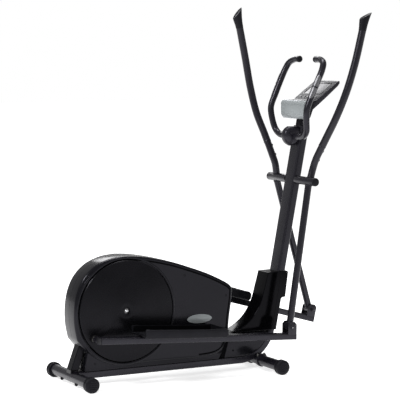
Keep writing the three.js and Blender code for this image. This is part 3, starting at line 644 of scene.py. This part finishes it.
def housing():
    outline = xz(curved_outline(SHELL_TOP, [], 84)) + xz(curved_outline(SHELL_BOTTOM, [], 44))
    body = extrude("housing_body", outline, -SHELL_HALF, SHELL_HALF)
    round_edges(body, 13 * MM, 6, 60)
    low_outline = [
        (-622, 62), (-30, 62), (40, 62), (60, 100), (0, 200), (-200, 260), (-560, 260), (-604, 170),
    ]
    skirt = extrude("housing_skirt", xz(low_outline), -SKIRT_HALF, SKIRT_HALF)
    round_edges(skirt, 4 * MM, 3, 40)
    tools = []
    for side in SIDES:
        wall = (0, side, 0)
        start = Vector((CRANK.x, side * 54 * MM, CRANK.z))
        tools.append(lathe("recess", start, wall, [(RECESS_R, 0), (RECESS_R, 50)], 128))
        groove = [Vector((x, side * SHELL_HALF, z)) for x, z in inset(outline, 16 * MM)[14:103]]
        tools.append(sweep("groove", groove, circle(3.4 * MM, 8)))
        # painted shade: a black tube laid in the groove, so the groove reads as a dark line
        line = [p - Vector((0, side * 3.0 * MM, 0)) for p in groove]
        finished(sweep(f"shell_groove_shade_{SIDES[side]}", line, circle(3.2 * MM, 10)), "frame", TREAD, angle=60)
    seam = block("seam", (-0.8, -0.7 * MM, 0.0), (0.3, 0.7 * MM, 0.7))
    post_outline = [(-690, 40), (-636, 40), (-566, 240), (-620, 240)]
    post_room = extrude("post_room", xz(post_outline), -27 * MM, 27 * MM)
    carve(body, *tools, seam)
    carve(skirt, post_room)
    finished(body, "frame", HOUSING, "housing_shell_right", "housing_shell_left")
    finished(skirt, "frame", HOUSING)
    inner = extrude("housing_seam_liner", inset(outline, 3 * MM), -2 * MM, 2 * MM)
    finished(inner, "frame", TREAD)
    for side, word in SIDES.items():
        wall = (0, side, 0)
        start = Vector((CRANK.x, side * 61.5 * MM, CRANK.z))
        lip = [(230, 0), (230.6, 1.9), (232, 2.7), (235, 2.7), (237.5, 1.9), (239, 0), (230, 0)]
        finished(lathe(f"disc_surround_{word}", start, wall, lip, 128), "frame", HOUSING, angle=50)
        start = Vector((CRANK.x, side * 52.3 * MM, CRANK.z))
        floor = [(20, 0), (RECESS_R, 0), (RECESS_R, 1.5), (20, 1.5), (20, 0)]
        finished(lathe(f"recess_floor_{word}", start, wall, floor, 96), "frame", TREAD)
        screws = [
            ("top", -139, 454), ("low", -573, 92), ("rear", -648, 318), ("nose", 70, 350), ("front", 50, 130),
        ]
        for tag, x, z in screws:
            depth = SKIRT_HALF if tag == "low" else SHELL_HALF
            sunk = 0.9 * MM if tag == "rear" else 0.2 * MM
            well = Vector((at_x(x), side * (depth - sunk), z * MM))
            ring = [(4.6, 0), (4.6, 0.7), (3.4, 0.7), (3.2, -1.6), (1.2, -1.9)]
            finished(lathe(f"shell_screw_{tag}_{word}", well, wall, ring, 24), "frame", TREAD)


housing()


def badge(side, word):
    """A plain pale lozenge on the nose, in place of any mark."""
    centre = Vector((-60 * MM, side * 62 * MM, 254 * MM))
    points = []
    for k in range(48):
        turn = 2 * math.pi * k / 48
        points.append((centre.x + 62 * MM * math.cos(turn), centre.z + 20 * MM * math.sin(turn)))
    y0, y1 = sorted((side * 61.7 * MM, side * 63.0 * MM))
    plate = extrude(f"plain_badge_{word}", points, y0, y1)
    round_edges(plate, 0.5 * MM, 2, 40)
    finished(plate, "frame", SILVER)


for side, word in SIDES.items():
    badge(side, word)


# ---- crank discs and arms ----
def crank_disc(side, word):
    start = Vector((CRANK.x, 0, CRANK.z))
    rim = 223.4
    profile = [(15, 69), (17, 69.6), (40, 69.6), (44, 69), (rim - 4, 69), (rim - 1.6, 68.3), (rim, 66.4)]
    profile += [(rim, 57), (219, 57), (215, 63), (15, 63), (15, 69)]
    piece = lathe(f"disc_cover_{word}", start, (0, side, 0), profile, 144)
    eye = eye_point(side)
    hole = turned("hole", Vector((eye.x, 0, eye.z)), (0, side, 0), [(17 * MM, 0.05), (17 * MM, 0.09)], 48)
    carve(piece, hole)
    finished(piece, "crank", DISC, f"crank_disc_{word}", angle=20)
    nut = [(7.2, 63.5), (7.2, 68.2), (6.2, 69.6), (3.6, 70.4), (1.2, 70.6)]
    piece = lathe(f"disc_bolt_{word}", start, (0, side, 0), nut, 32)
    finished(piece, "crank", STEEL, f"crank_bolt_{word}", angle=25)
    boss = [(13, 60), (16.2, 60), (16.2, 80.5), (14.6, 84), (6, 84), (5, 82.5)]
    piece = lathe(f"crank_eye_{word}", Vector((eye.x, 0, eye.z)), (0, side, 0), boss, 40)
    finished(piece, "crank", ZINC, angle=25)


def eye_point(side):
    """Centre of the crank pin: one boss radius in from the far corner of the CAD crank arm."""
    low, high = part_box(f"crank_arm_{SIDES[side]}")
    reach = 20 * MM
    if side == RIGHT:
        return Vector((low.x + reach, 0, low.z + reach))
    return Vector((high.x - reach, 0, high.z - reach))


for side, word in SIDES.items():
    crank_disc(side, word)


# ---- swing arms and handles ----
ARM_LENGTH = 666.6
SEAM_V = 165
HANDLE_PATH = [
    (4, 0, 147), (12, 60, 147), (14, 100, 157), (25, 200, 201), (35, 300, 247), (52, 420, 276),
    (69, 550, 287), (82, 700, 291),
]


def arm_frame(side):
    """Unit vectors of a swing arm at rest: forward and up along the arm."""
    pin = LOWER_PIN[side]
    up = (Vector((PIVOT.x, 0, PIVOT.z)) - Vector((pin.x, 0, pin.z))).normalized()
    return Vector((up.z, 0, -up.x)), up


def arm_point(side, u, v, y):
    forward, up = arm_frame(side)
    return Vector((PIVOT.x, side * y * MM, PIVOT.z)) + forward * u * MM + up * v * MM


HANDLE_CURVE = spline([(u, y, v) for u, v, y in HANDLE_PATH], 220)


def handle_spine(side, v0, v1, count):
    inside = [p for p in HANDLE_CURVE if v0 <= p.z <= v1]
    picked = [inside[round(i * (len(inside) - 1) / (count - 1))] for i in range(count)]
    return [arm_point(side, p.x, p.z, p.y) for p in picked]


def swing_arm(side, word):
    body = f"swing_{word}"
    node = f"swing_arm_{word}"
    top = arm_point(side, 0, 0, 147)
    foot = arm_point(side, 0, -ARM_LENGTH, 150)
    lower = sweep(f"arm_tube_{word}", [top.lerp(foot, k / 12) for k in range(13)], circle(15.8 * MM, 40))
    finished(lower, body, PAINT, node)
    stub = sweep(f"arm_stub_{word}", handle_spine(side, 0, SEAM_V + 2, 26), circle(16.4 * MM, 40))
    finished(stub, body, PAINT)
    start = Vector((PIVOT.x, side * 41 * MM, PIVOT.z))
    barrel = [(12, 0), (18, 0), (19, 1), (19, 158), (18.4, 159)]
    sleeve = lathe(f"pivot_sleeve_{word}", start, (0, side, 0), barrel, 56)
    finished(sleeve, body, PAINT)
    dome = [(19, 159.3), (19, 162), (18.2, 164), (15, 165.6), (9, 166.3), (2, 166.5)]
    cap = lathe(f"pivot_dome_{word}", start, (0, side, 0), dome, 56)
    finished(cap, body, RUBBER, f"pivot_cap_{word}", angle=50)
    eye = [(6.5, -22), (17.6, -22), (19, -20.5), (19, 20.5), (17.6, 22), (6.5, 22), (6.5, -22)]
    ring = lathe(f"lower_eye_{word}", foot, (0, 1, 0), eye, 48)
    finished(ring, body, PAINT, angle=40)
    forward, up = arm_frame(side)
    weld_ring(f"weld_lower_{word}", foot + up * 19.5 * MM, up, 14.6 * MM, body)
    weld_ring(f"weld_pivot_low_{word}", top - up * 18.6 * MM, up, 14.8 * MM, body)
    weld_ring(f"weld_pivot_high_{word}", arm_point(side, 6, 19, 147), up, 15.0 * MM, body)
    grip = sweep(f"handle_tube_{word}", handle_spine(side, SEAM_V, 703, 90), circle(17.0 * MM, 40))
    finished(grip, body, PAINT, f"handle_{word}")
    seam = handle_spine(side, SEAM_V - 4, SEAM_V + 5, 4)
    collar = sweep(f"handle_collar_{word}", seam, circle(18.0 * MM, 40), growth=[0.95, 1.0, 1.0, 0.95])
    finished(collar, body, PAINT, angle=60)
    for tag, v in (("a", 100), ("b", 142)):
        at = handle_spine(side, v - 6, v + 6, 3)[1]
        bolt(f"handle_bolt_{tag}_{word}", at + forward * 15.0 * MM, forward, body, 6.2, 5.5)
    handle_cap(side, word, body)


def handle_cap(side, word, body):
    """Flared plug with a slanted top. Each ring has its rear u and v, front u and v, and half width."""
    rings = [
        (65, 699, 99, 699, 17.2), (64.5, 703, 99.5, 703, 17.8), (64, 716, 101, 719, 18),
        (62, 732, 105, 742, 18), (60.5, 745, 111, 767, 18), (60.5, 749, 115.5, 783, 17.4),
        (62.5, 751.5, 116.5, 787.5, 15.4), (67, 752, 113, 784.5, 12),
    ]
    count = 40
    vertices = []
    for rear_u, rear_v, front_u, front_v, half in rings:
        for k in range(count):
            turn = 2 * math.pi * k / count
            share = (1 + math.cos(turn)) / 2
            u, v = lerp(rear_u, front_u, share), lerp(rear_v, front_v, share)
            vertices.append(arm_point(side, u, v, 291 + half * math.sin(turn)))
    plug = mesh_object(f"handle_plug_{word}", vertices, skin(len(rings), count) + ends(len(rings), count))
    finished(plug, body, RUBBER, f"handle_cap_{word}", angle=50)


for side, word in SIDES.items():
    swing_arm(side, word)

# ---- pedal arms ----
PEDAL_LENGTH = 932.5
PEDAL_Y = 150
TUBE_DROP = 46 / PEDAL_LENGTH
TUBE_HEIGHT = 28


def tube_centre(s):
    return 4 - TUBE_DROP * s


def tube_top(s):
    return tube_centre(s) + TUBE_HEIGHT / 2


def pedal_frame(side):
    pin, crank_pin = LOWER_PIN[side], eye_point(side)
    along = (Vector((pin.x, 0, pin.z)) - Vector((crank_pin.x, 0, crank_pin.z))).normalized()
    return along, Vector((-along.z, 0, along.x))


def pedal_point(side, s, h, y=0.0):
    along, up = pedal_frame(side)
    pin = LOWER_PIN[side]
    return Vector((pin.x, side * y * MM, pin.z)) + along * (s - PEDAL_LENGTH) * MM + up * h * MM


def pedal_prism(name, side, corners, inner, outer):
    outline = []
    for s, h in corners:
        p = pedal_point(side, s, h)
        outline.append((p.x, p.z))
    y0, y1 = sorted((side * inner * MM, side * outer * MM))
    return extrude(name, outline, y0, y1)


def pedal_arm(side, word):
    body = f"pedal_{word}"
    start, end = -13, PEDAL_LENGTH + 22
    places = [lerp(start, end, k / 16) for k in range(17)]
    path = [pedal_point(side, s, tube_centre(s), PEDAL_Y) for s in places]
    tube = sweep(f"pedal_tube_{word}", path, rounded_rectangle(50 * MM, TUBE_HEIGHT * MM, 5 * MM))
    finished(tube, body, PAINT, f"pedal_arm_{word}")
    for tag, s0, s1 in (("rear", -16.5, -12.5), ("front", end - 0.5, end + 3)):
        half = TUBE_HEIGHT / 2 + 0.2
        h0, h1 = tube_centre(s0), tube_centre(s1)
        corners = [(s0, h0 - half), (s1, h1 - half), (s1, h1 + half), (s0, h0 + half)]
        plug = pedal_prism(f"pedal_plug_{tag}_{word}", side, corners, PEDAL_Y - 25.2, PEDAL_Y + 25.2)
        round_edges(plug, 1.6 * MM, 3)
        finished(plug, body, RUBBER)
    hub = pedal_point(side, 0, 0)
    barrel = [(6, 84.4), (13, 84.4), (15, 86), (15, 92), (17.5, 94), (17.5, 124), (13, 126)]
    finished(lathe(f"rear_hub_{word}", hub, (0, side, 0), barrel, 40), body, PAINT, angle=25)
    f = PEDAL_LENGTH
    base = tube_top(f)
    cheek = [(f - 22, base - 5), (f + 23, base - 5), (f + 23, 14), (f + 12, 26), (f - 11, 26), (f - 22, 14)]
    for tag, inner, outer in (("inner", 122.2, 127), ("outer", 173, 177.8)):
        plate = pedal_prism(f"bracket_{tag}_{word}", side, cheek, inner, outer)
        round_edges(plate, 1.2 * MM, 2)
        finished(plate, body, PAINT)
    floor = [(f - 21, base - 3), (f + 22, base - 3.4), (f + 22, base + 1.4), (f - 21, base + 1.8)]
    plate = pedal_prism(f"bracket_floor_{word}", side, floor, 122.4, 177.6)
    round_edges(plate, 1.0 * MM, 2)
    finished(plate, body, PAINT)
    pin = Vector((LOWER_PIN[side].x, 0, LOWER_PIN[side].z))
    shank = [(6, -31), (6, 31)]
    centre = pin + Vector((0, side * PEDAL_Y * MM, 0))
    shank_piece = lathe(f"pin_shank_{word}", centre, (0, 1, 0), shank, 32)
    finished(shank_piece, body, STEEL, f"lower_pin_{word}")
    for tag, y, facing, height in (("head", 177.9, side, 6), ("nut", 122.1, -side, 8)):
        place = pin + Vector((0, side * y * MM, 0))
        bolt(f"pin_{tag}_{word}", place, (0, facing, 0), body, 7.5, height, material=PAINT)
    footplate(side, word, body)


PLATE_START, PLATE_END = 166, 572
PLATE_INNER, PLATE_OUTER = 88, 240


def footplate(side, word, body):
    """Deep tray with a rolled rim and a ribbed rubber floor."""
    s0, s1 = PLATE_START, PLATE_END
    low = tube_top(s0) + 0.6
    high = tube_top(s1) + 0.6
    corners = [
        (s0 + 14, low), (s1 - 8, high), (s1, high + 10), (s1, high + 31), (s1 - 12, high + 42),
        (s1 - 90, high + 42), (s0 + 30, low + 40), (s0, low + 44), (s0, low + 16),
    ]
    tray = pedal_prism(f"footplate_tray_{word}", side, corners, PLATE_INNER, PLATE_OUTER)
    round_edges(tray, 9 * MM, 4, 20)
    well = [(s0 - 30, low + 10), (s1 - 13, high + 10), (s1 - 13, high + 90), (s0 - 30, low + 90)]
    room = pedal_prism("well", side, well, PLATE_INNER + 7, PLATE_OUTER - 7)
    round_edges(room, 6 * MM, 4, 20)
    carve(tray, room)
    finished(tray, body, RUBBER, f"footplate_{word}", angle=40)
    # painted shade: thin black sheets on the well's inner walls, darker than the tray itself
    wall_shade_outline = [
        (s0 + 6, low + 10), (s1 - 16, high + 10), (s1 - 16, high + 36), (s1 - 90, high + 39),
        (s0 + 34, low + 37), (s0 + 8, low + 38),
    ]
    for tag, wall, inward in (("inner", PLATE_INNER, 1), ("outer", PLATE_OUTER, -1)):
        y0, y1 = sorted((wall + inward * 6.9, wall + inward * 7.6))
        finished(pedal_prism(f"footplate_wall_shade_{tag}_{word}", side, wall_shade_outline, y0, y1), body, TREAD)
    rows = 11
    for k in range(rows):
        y = lerp(PLATE_INNER + 18, PLATE_OUTER - 18, k / (rows - 1))
        a, b = s0 + 16, s1 - 34
        strip = [(s, tube_top(s) + h) for s, h in ((a, 10), (b, 10), (b, 13), (a, 13))]
        rib = pedal_prism(f"tread_{k + 1}_{word}", side, strip, y - 3.2, y + 3.2)
        round_edges(rib, 1.2 * MM, 2)
        finished(rib, body, RUBBER)
    for k in range(2):
        s = lerp(s0 + 120, s1 - 120, k)
        for edge in (-1, 1):
            at = pedal_point(side, s, tube_top(s) + 13.0, PEDAL_Y + edge * 12)
            up = pedal_frame(side)[1]
            bolt(f"plate_bolt_{k + 1}_{'in' if edge < 0 else 'out'}_{word}", at, up, body, 6, 3)


for side, word in SIDES.items():
    pedal_arm(side, word)

# ---- fixed handlebar ----
BAR_R = 14.6
BAR_PATH = [
    (448, 0, 1053), (448, 24, 1053), (448, 58, 1053), (447, 110, 1060), (442, 139, 1083),
    (433, 153, 1130), (431, 161, 1183), (456, 162, 1246), (483, 163, 1306), (508, 162, 1358),
    (522, 150, 1389), (530, 114, 1404), (531, 70, 1406),
]


def bar_points(side):
    return [Vector((at_x(x), side * y * MM, z * MM)) for x, y, z in BAR_PATH]


def handlebar():
    right = list(reversed(bar_points(RIGHT)))
    both = spline(right + bar_points(LEFT)[1:], 230)
    tube = sweep("handlebar_tube", both, circle(BAR_R * MM, 36), side=(1, 0, 0))
    parts = ("cross", "lower_right", "lower_left", "upper_right", "upper_left")
    finished(tube, "frame", PAINT, *[f"handlebar_{part}" for part in parts])
    for side, word in SIDES.items():
        curve = spline(bar_points(side), 160)
        tip, before = curve[-1], curve[-3]
        out = (tip - before).normalized()
        dome = [(14.9, -9), (15.3, -3), (14.9, 1.0), (12.4, 3.6), (7.5, 5.2), (1.5, 5.8)]
        cap = lathe(f"bar_cap_{word}", tip, out, dome, 36)
        finished(cap, "frame", RUBBER, angle=50)
        pulse_plates(side, word, curve)


def pulse_plates(side, word, curve):
    """Two polished contact plates let into the outer side of the bar, pointed at their far ends."""
    start = next(i for i, p in enumerate(curve) if p.z > 1.228)
    end = next(i for i, p in enumerate(curve) if p.z > 1.332)
    middle = (start + end) // 2
    for tag, first, last, point_first in (("low", start, middle - 1, True), ("high", middle + 1, end, False)):
        span = last - first
        vertices, steps = [], 12
        for i in range(first, last + 1):
            tangent = (curve[i + 1] - curve[i - 1]).normalized()
            out = Vector((-0.85, side, 0))
            out = (out - tangent * out.dot(tangent)).normalized()
            across = tangent.cross(out)
            share = (i - first) / span if point_first else (last - i) / span
            half = math.radians(8 + 56 * math.sqrt(min(1.0, share * 1.15)))
            for radius, edge in ((BAR_R + 1.5, half), (BAR_R - 1.5, -half)):
                for k in range(steps + 1):
                    turn = lerp(-edge, edge, k / steps)
                    vertices.append(curve[i] + (out * math.cos(turn) + across * math.sin(turn)) * radius * MM)
        ring = 2 * (steps + 1)
        plate = mesh_object(f"pulse_{tag}_{word}", vertices, skin(span + 1, ring) + ends(span + 1, ring))
        finished(plate, "frame", PULSE, angle=40)


handlebar()


def clamp_cover():
    """Egg-shaped cover over the handlebar clamp, flat where it meets the mast."""
    rear = [(424, 1100), (404, 1080), (399, 1055), (409, 1027), (432, 1010)]
    outline = xz(curved_outline(rear, [(468, 1012), (484, 1099)], 26))
    centre = Vector((441.9 * MM, 1055 * MM))
    rings, half = 24, 29.5
    vertices = []
    for ring in range(rings + 1):
        place = -math.cos(math.pi * ring / rings)
        swell = max(0.05, (1 - abs(place) ** 2.6) ** (1 / 2.2))
        for x, z in outline:
            drawn_in = lerp(centre.x, x, swell) if x < centre.x else x
            vertices.append((drawn_in, place * half * MM, lerp(centre.y, z, swell)))
    faces = skin(rings + 1, len(outline)) + ends(rings + 1, len(outline))
    finished(mesh_object("clamp_cover_body", vertices, faces), "frame", PAINT, "clamp_cover", angle=50)
    bolt("clamp_screw", Vector((404.6 * MM, 0, 1.058)), (-1, 0, 0), "frame", 4, 2, False, TREAD)


clamp_cover()


def neck():
    low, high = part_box("neck_cover")
    x0, x1 = low.x, low.x + 38 * MM
    outline = [(x0, low.z), (x1, low.z), (x1 + 12 * MM, high.z - 1 * MM), (x0 + 9 * MM, high.z - 24 * MM)]
    piece = extrude("neck_body", outline, low.y, high.y)
    round_edges(piece, 5 * MM, 4)
    finished(piece, "frame", HOUSING, "neck_cover")
    low_rear, high_rear = outline[0], outline[3]
    band = [(x - 1.6 * MM, z) for x, z in (low_rear, high_rear)] + [high_rear, low_rear]
    for k in range(4):
        y = lerp(-17, 17, k / 3) * MM
        rib = extrude(f"neck_rib_{k + 1}", band, y - 1.6 * MM, y + 1.6 * MM)
        finished(rib, "frame", HOUSING)


neck()

# ---- console ----
CONSOLE_HALF = 103 * MM
FACE_START = Vector((at_x(518), 0, 1.221))
FACE_END = Vector((at_x(636), 0, 1.307))
FACE_ALONG = (FACE_END - FACE_START).normalized()
FACE_UP = Vector((-FACE_ALONG.z, 0, FACE_ALONG.x))


def face_point(along, up):
    """A point over the display face: distance up the face and height above it, in millimetres."""
    return FACE_START + FACE_ALONG * along * MM + FACE_UP * up * MM


def face_block(name, a0, a1, y0, y1, low, high):
    corners = [face_point(a0, low), face_point(a1, low), face_point(a1, high), face_point(a0, high)]
    return extrude(name, [(p.x, p.z) for p in corners], y0 * MM, y1 * MM)


def key_place(number):
    """Distance of a key up the face and across it, in millimetres."""
    low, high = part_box(f"console_button_{number}")
    centre = (low + high) / 2
    return (centre - FACE_START).dot(FACE_ALONG) / MM, centre.y / MM


def console():
    fascia = [(447, 1206), (448.5, 1152), (461, 1133), (474, 1135), (474, 1219), (458, 1219)]
    body = extrude("console_box", xz(fascia), -CONSOLE_HALF, CONSOLE_HALF)
    round_edges(body, 6 * MM, 4, 25)
    shell = [(473.5, 1137), (486, 1140), (503, 1184), (524, 1215), (517, 1219), (473.5, 1217)]
    back = extrude("console_back", xz(shell), -CONSOLE_HALF + 1 * MM, CONSOLE_HALF - 1 * MM)
    round_edges(back, 4 * MM, 4, 25)
    finished(back, "frame", HOUSING)
    panel_room = block("panel_room", (at_x(440), -86 * MM, 1.154), (at_x(450.6), 86 * MM, 1.203))
    round_edges(panel_room, 5 * MM, 3)
    carve(body, panel_room)
    finished(body, "frame", SILVER, "console_body")
    panel = block("console_panel", (at_x(449.4), -84.5 * MM, 1.1555), (at_x(454), 84.5 * MM, 1.2015))
    round_edges(panel, 1.2 * MM, 3)
    finished(panel, "frame", SILVER)
    slab_outline = [
        (498, 1177), (562, 1226), (633, 1284), (643, 1297), (641, 1307), (633, 1305.5), (518, 1221.5),
        (504, 1209),
    ]
    slab = extrude("console_underside", xz(slab_outline), -CONSOLE_HALF, CONSOLE_HALF)
    round_edges(slab, 3 * MM, 4, 25)
    finished(slab, "frame", PAINT)
    face_length = (FACE_END - FACE_START).length / MM
    bezel = face_block("console_bezel", 1, face_length - 5, -97, 97, -3.4, 1.0)
    round_edges(bezel, 1.6 * MM, 3)
    lcd_low, lcd_high = 46, face_length - 24
    rooms = [face_block("window_room", lcd_low, lcd_high, -70, 70, -2.6, 3)]
    for number in range(1, 6):
        along, y = key_place(number)
        rooms.append(face_block("key_room", along - 6, along + 6, y - 10.5, y + 10.5, -8, 6))
    carve(bezel, *rooms)
    finished(bezel, "frame", BEZEL)
    window = face_block("lcd_window", lcd_low - 0.5, lcd_high + 0.5, -70.5, 70.5, -4.4, 0.4)
    finished(window, "frame", SCREEN, "console_screen")
    frame_bars = [
        ("low", lcd_low - 5, lcd_low, -75, 75), ("high", lcd_high, lcd_high + 5, -75, 75),
        ("right", lcd_low, lcd_high, -75, -70), ("left", lcd_low, lcd_high, 70, 75),
    ]
    for tag, a0, a1, y0, y1 in frame_bars:
        rim = face_block(f"lcd_rim_{tag}", a0, a1, y0, y1, -1.0, 2.0)
        round_edges(rim, 0.8 * MM, 2)
        finished(rim, "frame", HOUSING)
    digits(lcd_low, lcd_high)
    for k in range(2):
        groove = face_block(f"bezel_line_{k + 1}", 30 + 6 * k, 31 + 6 * k, -92, 92, 0.3, 1.25)
        finished(groove, "frame", HOUSING)


def digits(lcd_low, lcd_high):
    """Zeros made of six bars each, in four plain readouts."""
    length = 7.5
    thick = 1.3
    low, high = (0.9, length - 0.2), (length + 1.1, 2 * length + 0.2)
    right, left = (-thick, 0), (-length, -length + thick)
    bars = [
        (0, thick, -length, 0), (2 * length, 2 * length + thick, -length, 0),
        (*low, *right), (*low, *left), (*high, *right), (*high, *left),
    ]
    for row in range(2):
        for column in range(2):
            for place in range(3):
                base_y = 38 - 62 * column - 14 * place
                base_a = lerp(lcd_low + 10, lcd_high - 10 - 2 * length, row)
                tag = f"{row + 1}{column + 1}{place + 1}"
                for index, (a0, a1, y0, y1) in enumerate(bars):
                    along = (base_a + a0, base_a + a1)
                    across = (base_y + y0, base_y + y1)
                    segment = face_block(f"digit_{tag}_{index + 1}", *along, *across, 0.2, 0.55)
                    finished(segment, "frame", INK)


def keys():
    for number in range(1, 6):
        node = f"console_button_{number}"
        along, y = key_place(number)
        key = face_block(f"key_{number}", along - 5.3, along + 5.3, y - 9.8, y + 9.8, -3.2, 2.8)
        round_edges(key, 1.5 * MM, 4)
        finished(key, f"button_{number}", KEYS, node)
        ring = face_block(f"key_frame_{number}", along - 7.4, along + 7.4, y - 12, y + 12, 0.4, 1.5)
        hole = face_block("hole", along - 6.0, along + 6.0, y - 10.5, y + 10.5, -6, 6)
        carve(ring, hole)
        finished(ring, "frame", HOUSING)


console()
keys()

# ---- carried-over nodes ----
CARRIED = {
    PAINT: ("rear_brace", "crank_carrier", "flywheel_fork", "crank_arm_right", "crank_arm_left"),
    ZINC: (
        "flywheel_axle", "brake_shoe", "pivot_axle", "crank_axle", "flywheel_pulley", "crank_bearing_right",
        "crank_bearing_left",
    ),
    HOUSING: ("crank_pulley",),
    RUBBER: ("drive_belt",),
    IRON: ("flywheel",),
}
for material, names in CARRIED.items():
    for name in names:
        node = NODES[name]
        soften(node)
        node.data.materials.clear()
        node.data.materials.append(material)

# ---- floor, light and camera ----


def studio():
    size = 30
    corners = [(-size, -size, 0), (size, -size, 0), (size, size, 0), (-size, size, 0)]
    floor = mesh_object("studio_floor", corners, [(0, 1, 2, 3)])
    pale = surface("studio_floor", srgb(250, 250, 250), 0.8, 0.0, (0.5, 0.01), 0.05, (20.0, 0.02))
    glow = pale.node_tree.nodes["Principled BSDF"]
    glow.inputs["Emission Color"].default_value = (1, 1, 1, 1)
    glow.inputs["Emission Strength"].default_value = 0.66
    floor.data.materials.append(pale)
    world = bpy.data.worlds.new("studio")
    world.use_nodes = True
    tree = world.node_tree
    backdrop = tree.nodes["Background"]
    backdrop.inputs["Color"].default_value = (1, 1, 1, 1)
    seen = tree.nodes.new("ShaderNodeLightPath")
    strength = tree.nodes.new("ShaderNodeMapRange")
    strength.inputs["To Min"].default_value = 0.42
    strength.inputs["To Max"].default_value = 1.0
    tree.links.new(seen.outputs["Is Camera Ray"], strength.inputs["Value"])
    tree.links.new(strength.outputs["Result"], backdrop.inputs["Strength"])
    bpy.context.scene.world = world
    lights = [
        ("key", (-4.4, -1.2, 4.4), 1.3, 170),
        ("fill", (2.8, -5.5, 2.6), 2.4, 16),
        ("top", (0.3, 0.6, 4.6), 2.0, 110),
        ("rear", (1.5, 4.5, 3.4), 2.2, 70),
    ]
    target = Vector((0, 0, 0.7))
    for name, place, width, power in lights:
        lamp = bpy.data.lights.new(name, "AREA")
        lamp.shape = "SQUARE"
        lamp.size = width
        lamp.energy = power
        holder = bpy.data.objects.new(name, lamp)
        holder.location = place
        holder.rotation_euler = (target - Vector(place)).to_track_quat("-Z", "Y").to_euler()
        bpy.context.scene.collection.objects.link(holder)


def camera():
    place = Vector((-3.6063, -6.7828, 1.509))
    heading, pitch = math.radians(27.835), math.radians(5.429)
    level = math.cos(pitch)
    look = Vector((math.sin(heading) * level, math.cos(heading) * level, -math.sin(pitch)))
    lens = bpy.data.cameras.new("camera")
    lens.sensor_width = 36
    lens.lens = 154.7
    lens.clip_end = 60
    holder = bpy.data.objects.new("camera", lens)
    holder.location = place
    holder.rotation_euler = look.to_track_quat("-Z", "Y").to_euler()
    bpy.context.scene.collection.objects.link(holder)
    bpy.context.scene.camera = holder


studio()
camera()
bpy.context.scene.view_settings.view_transform = "Standard"
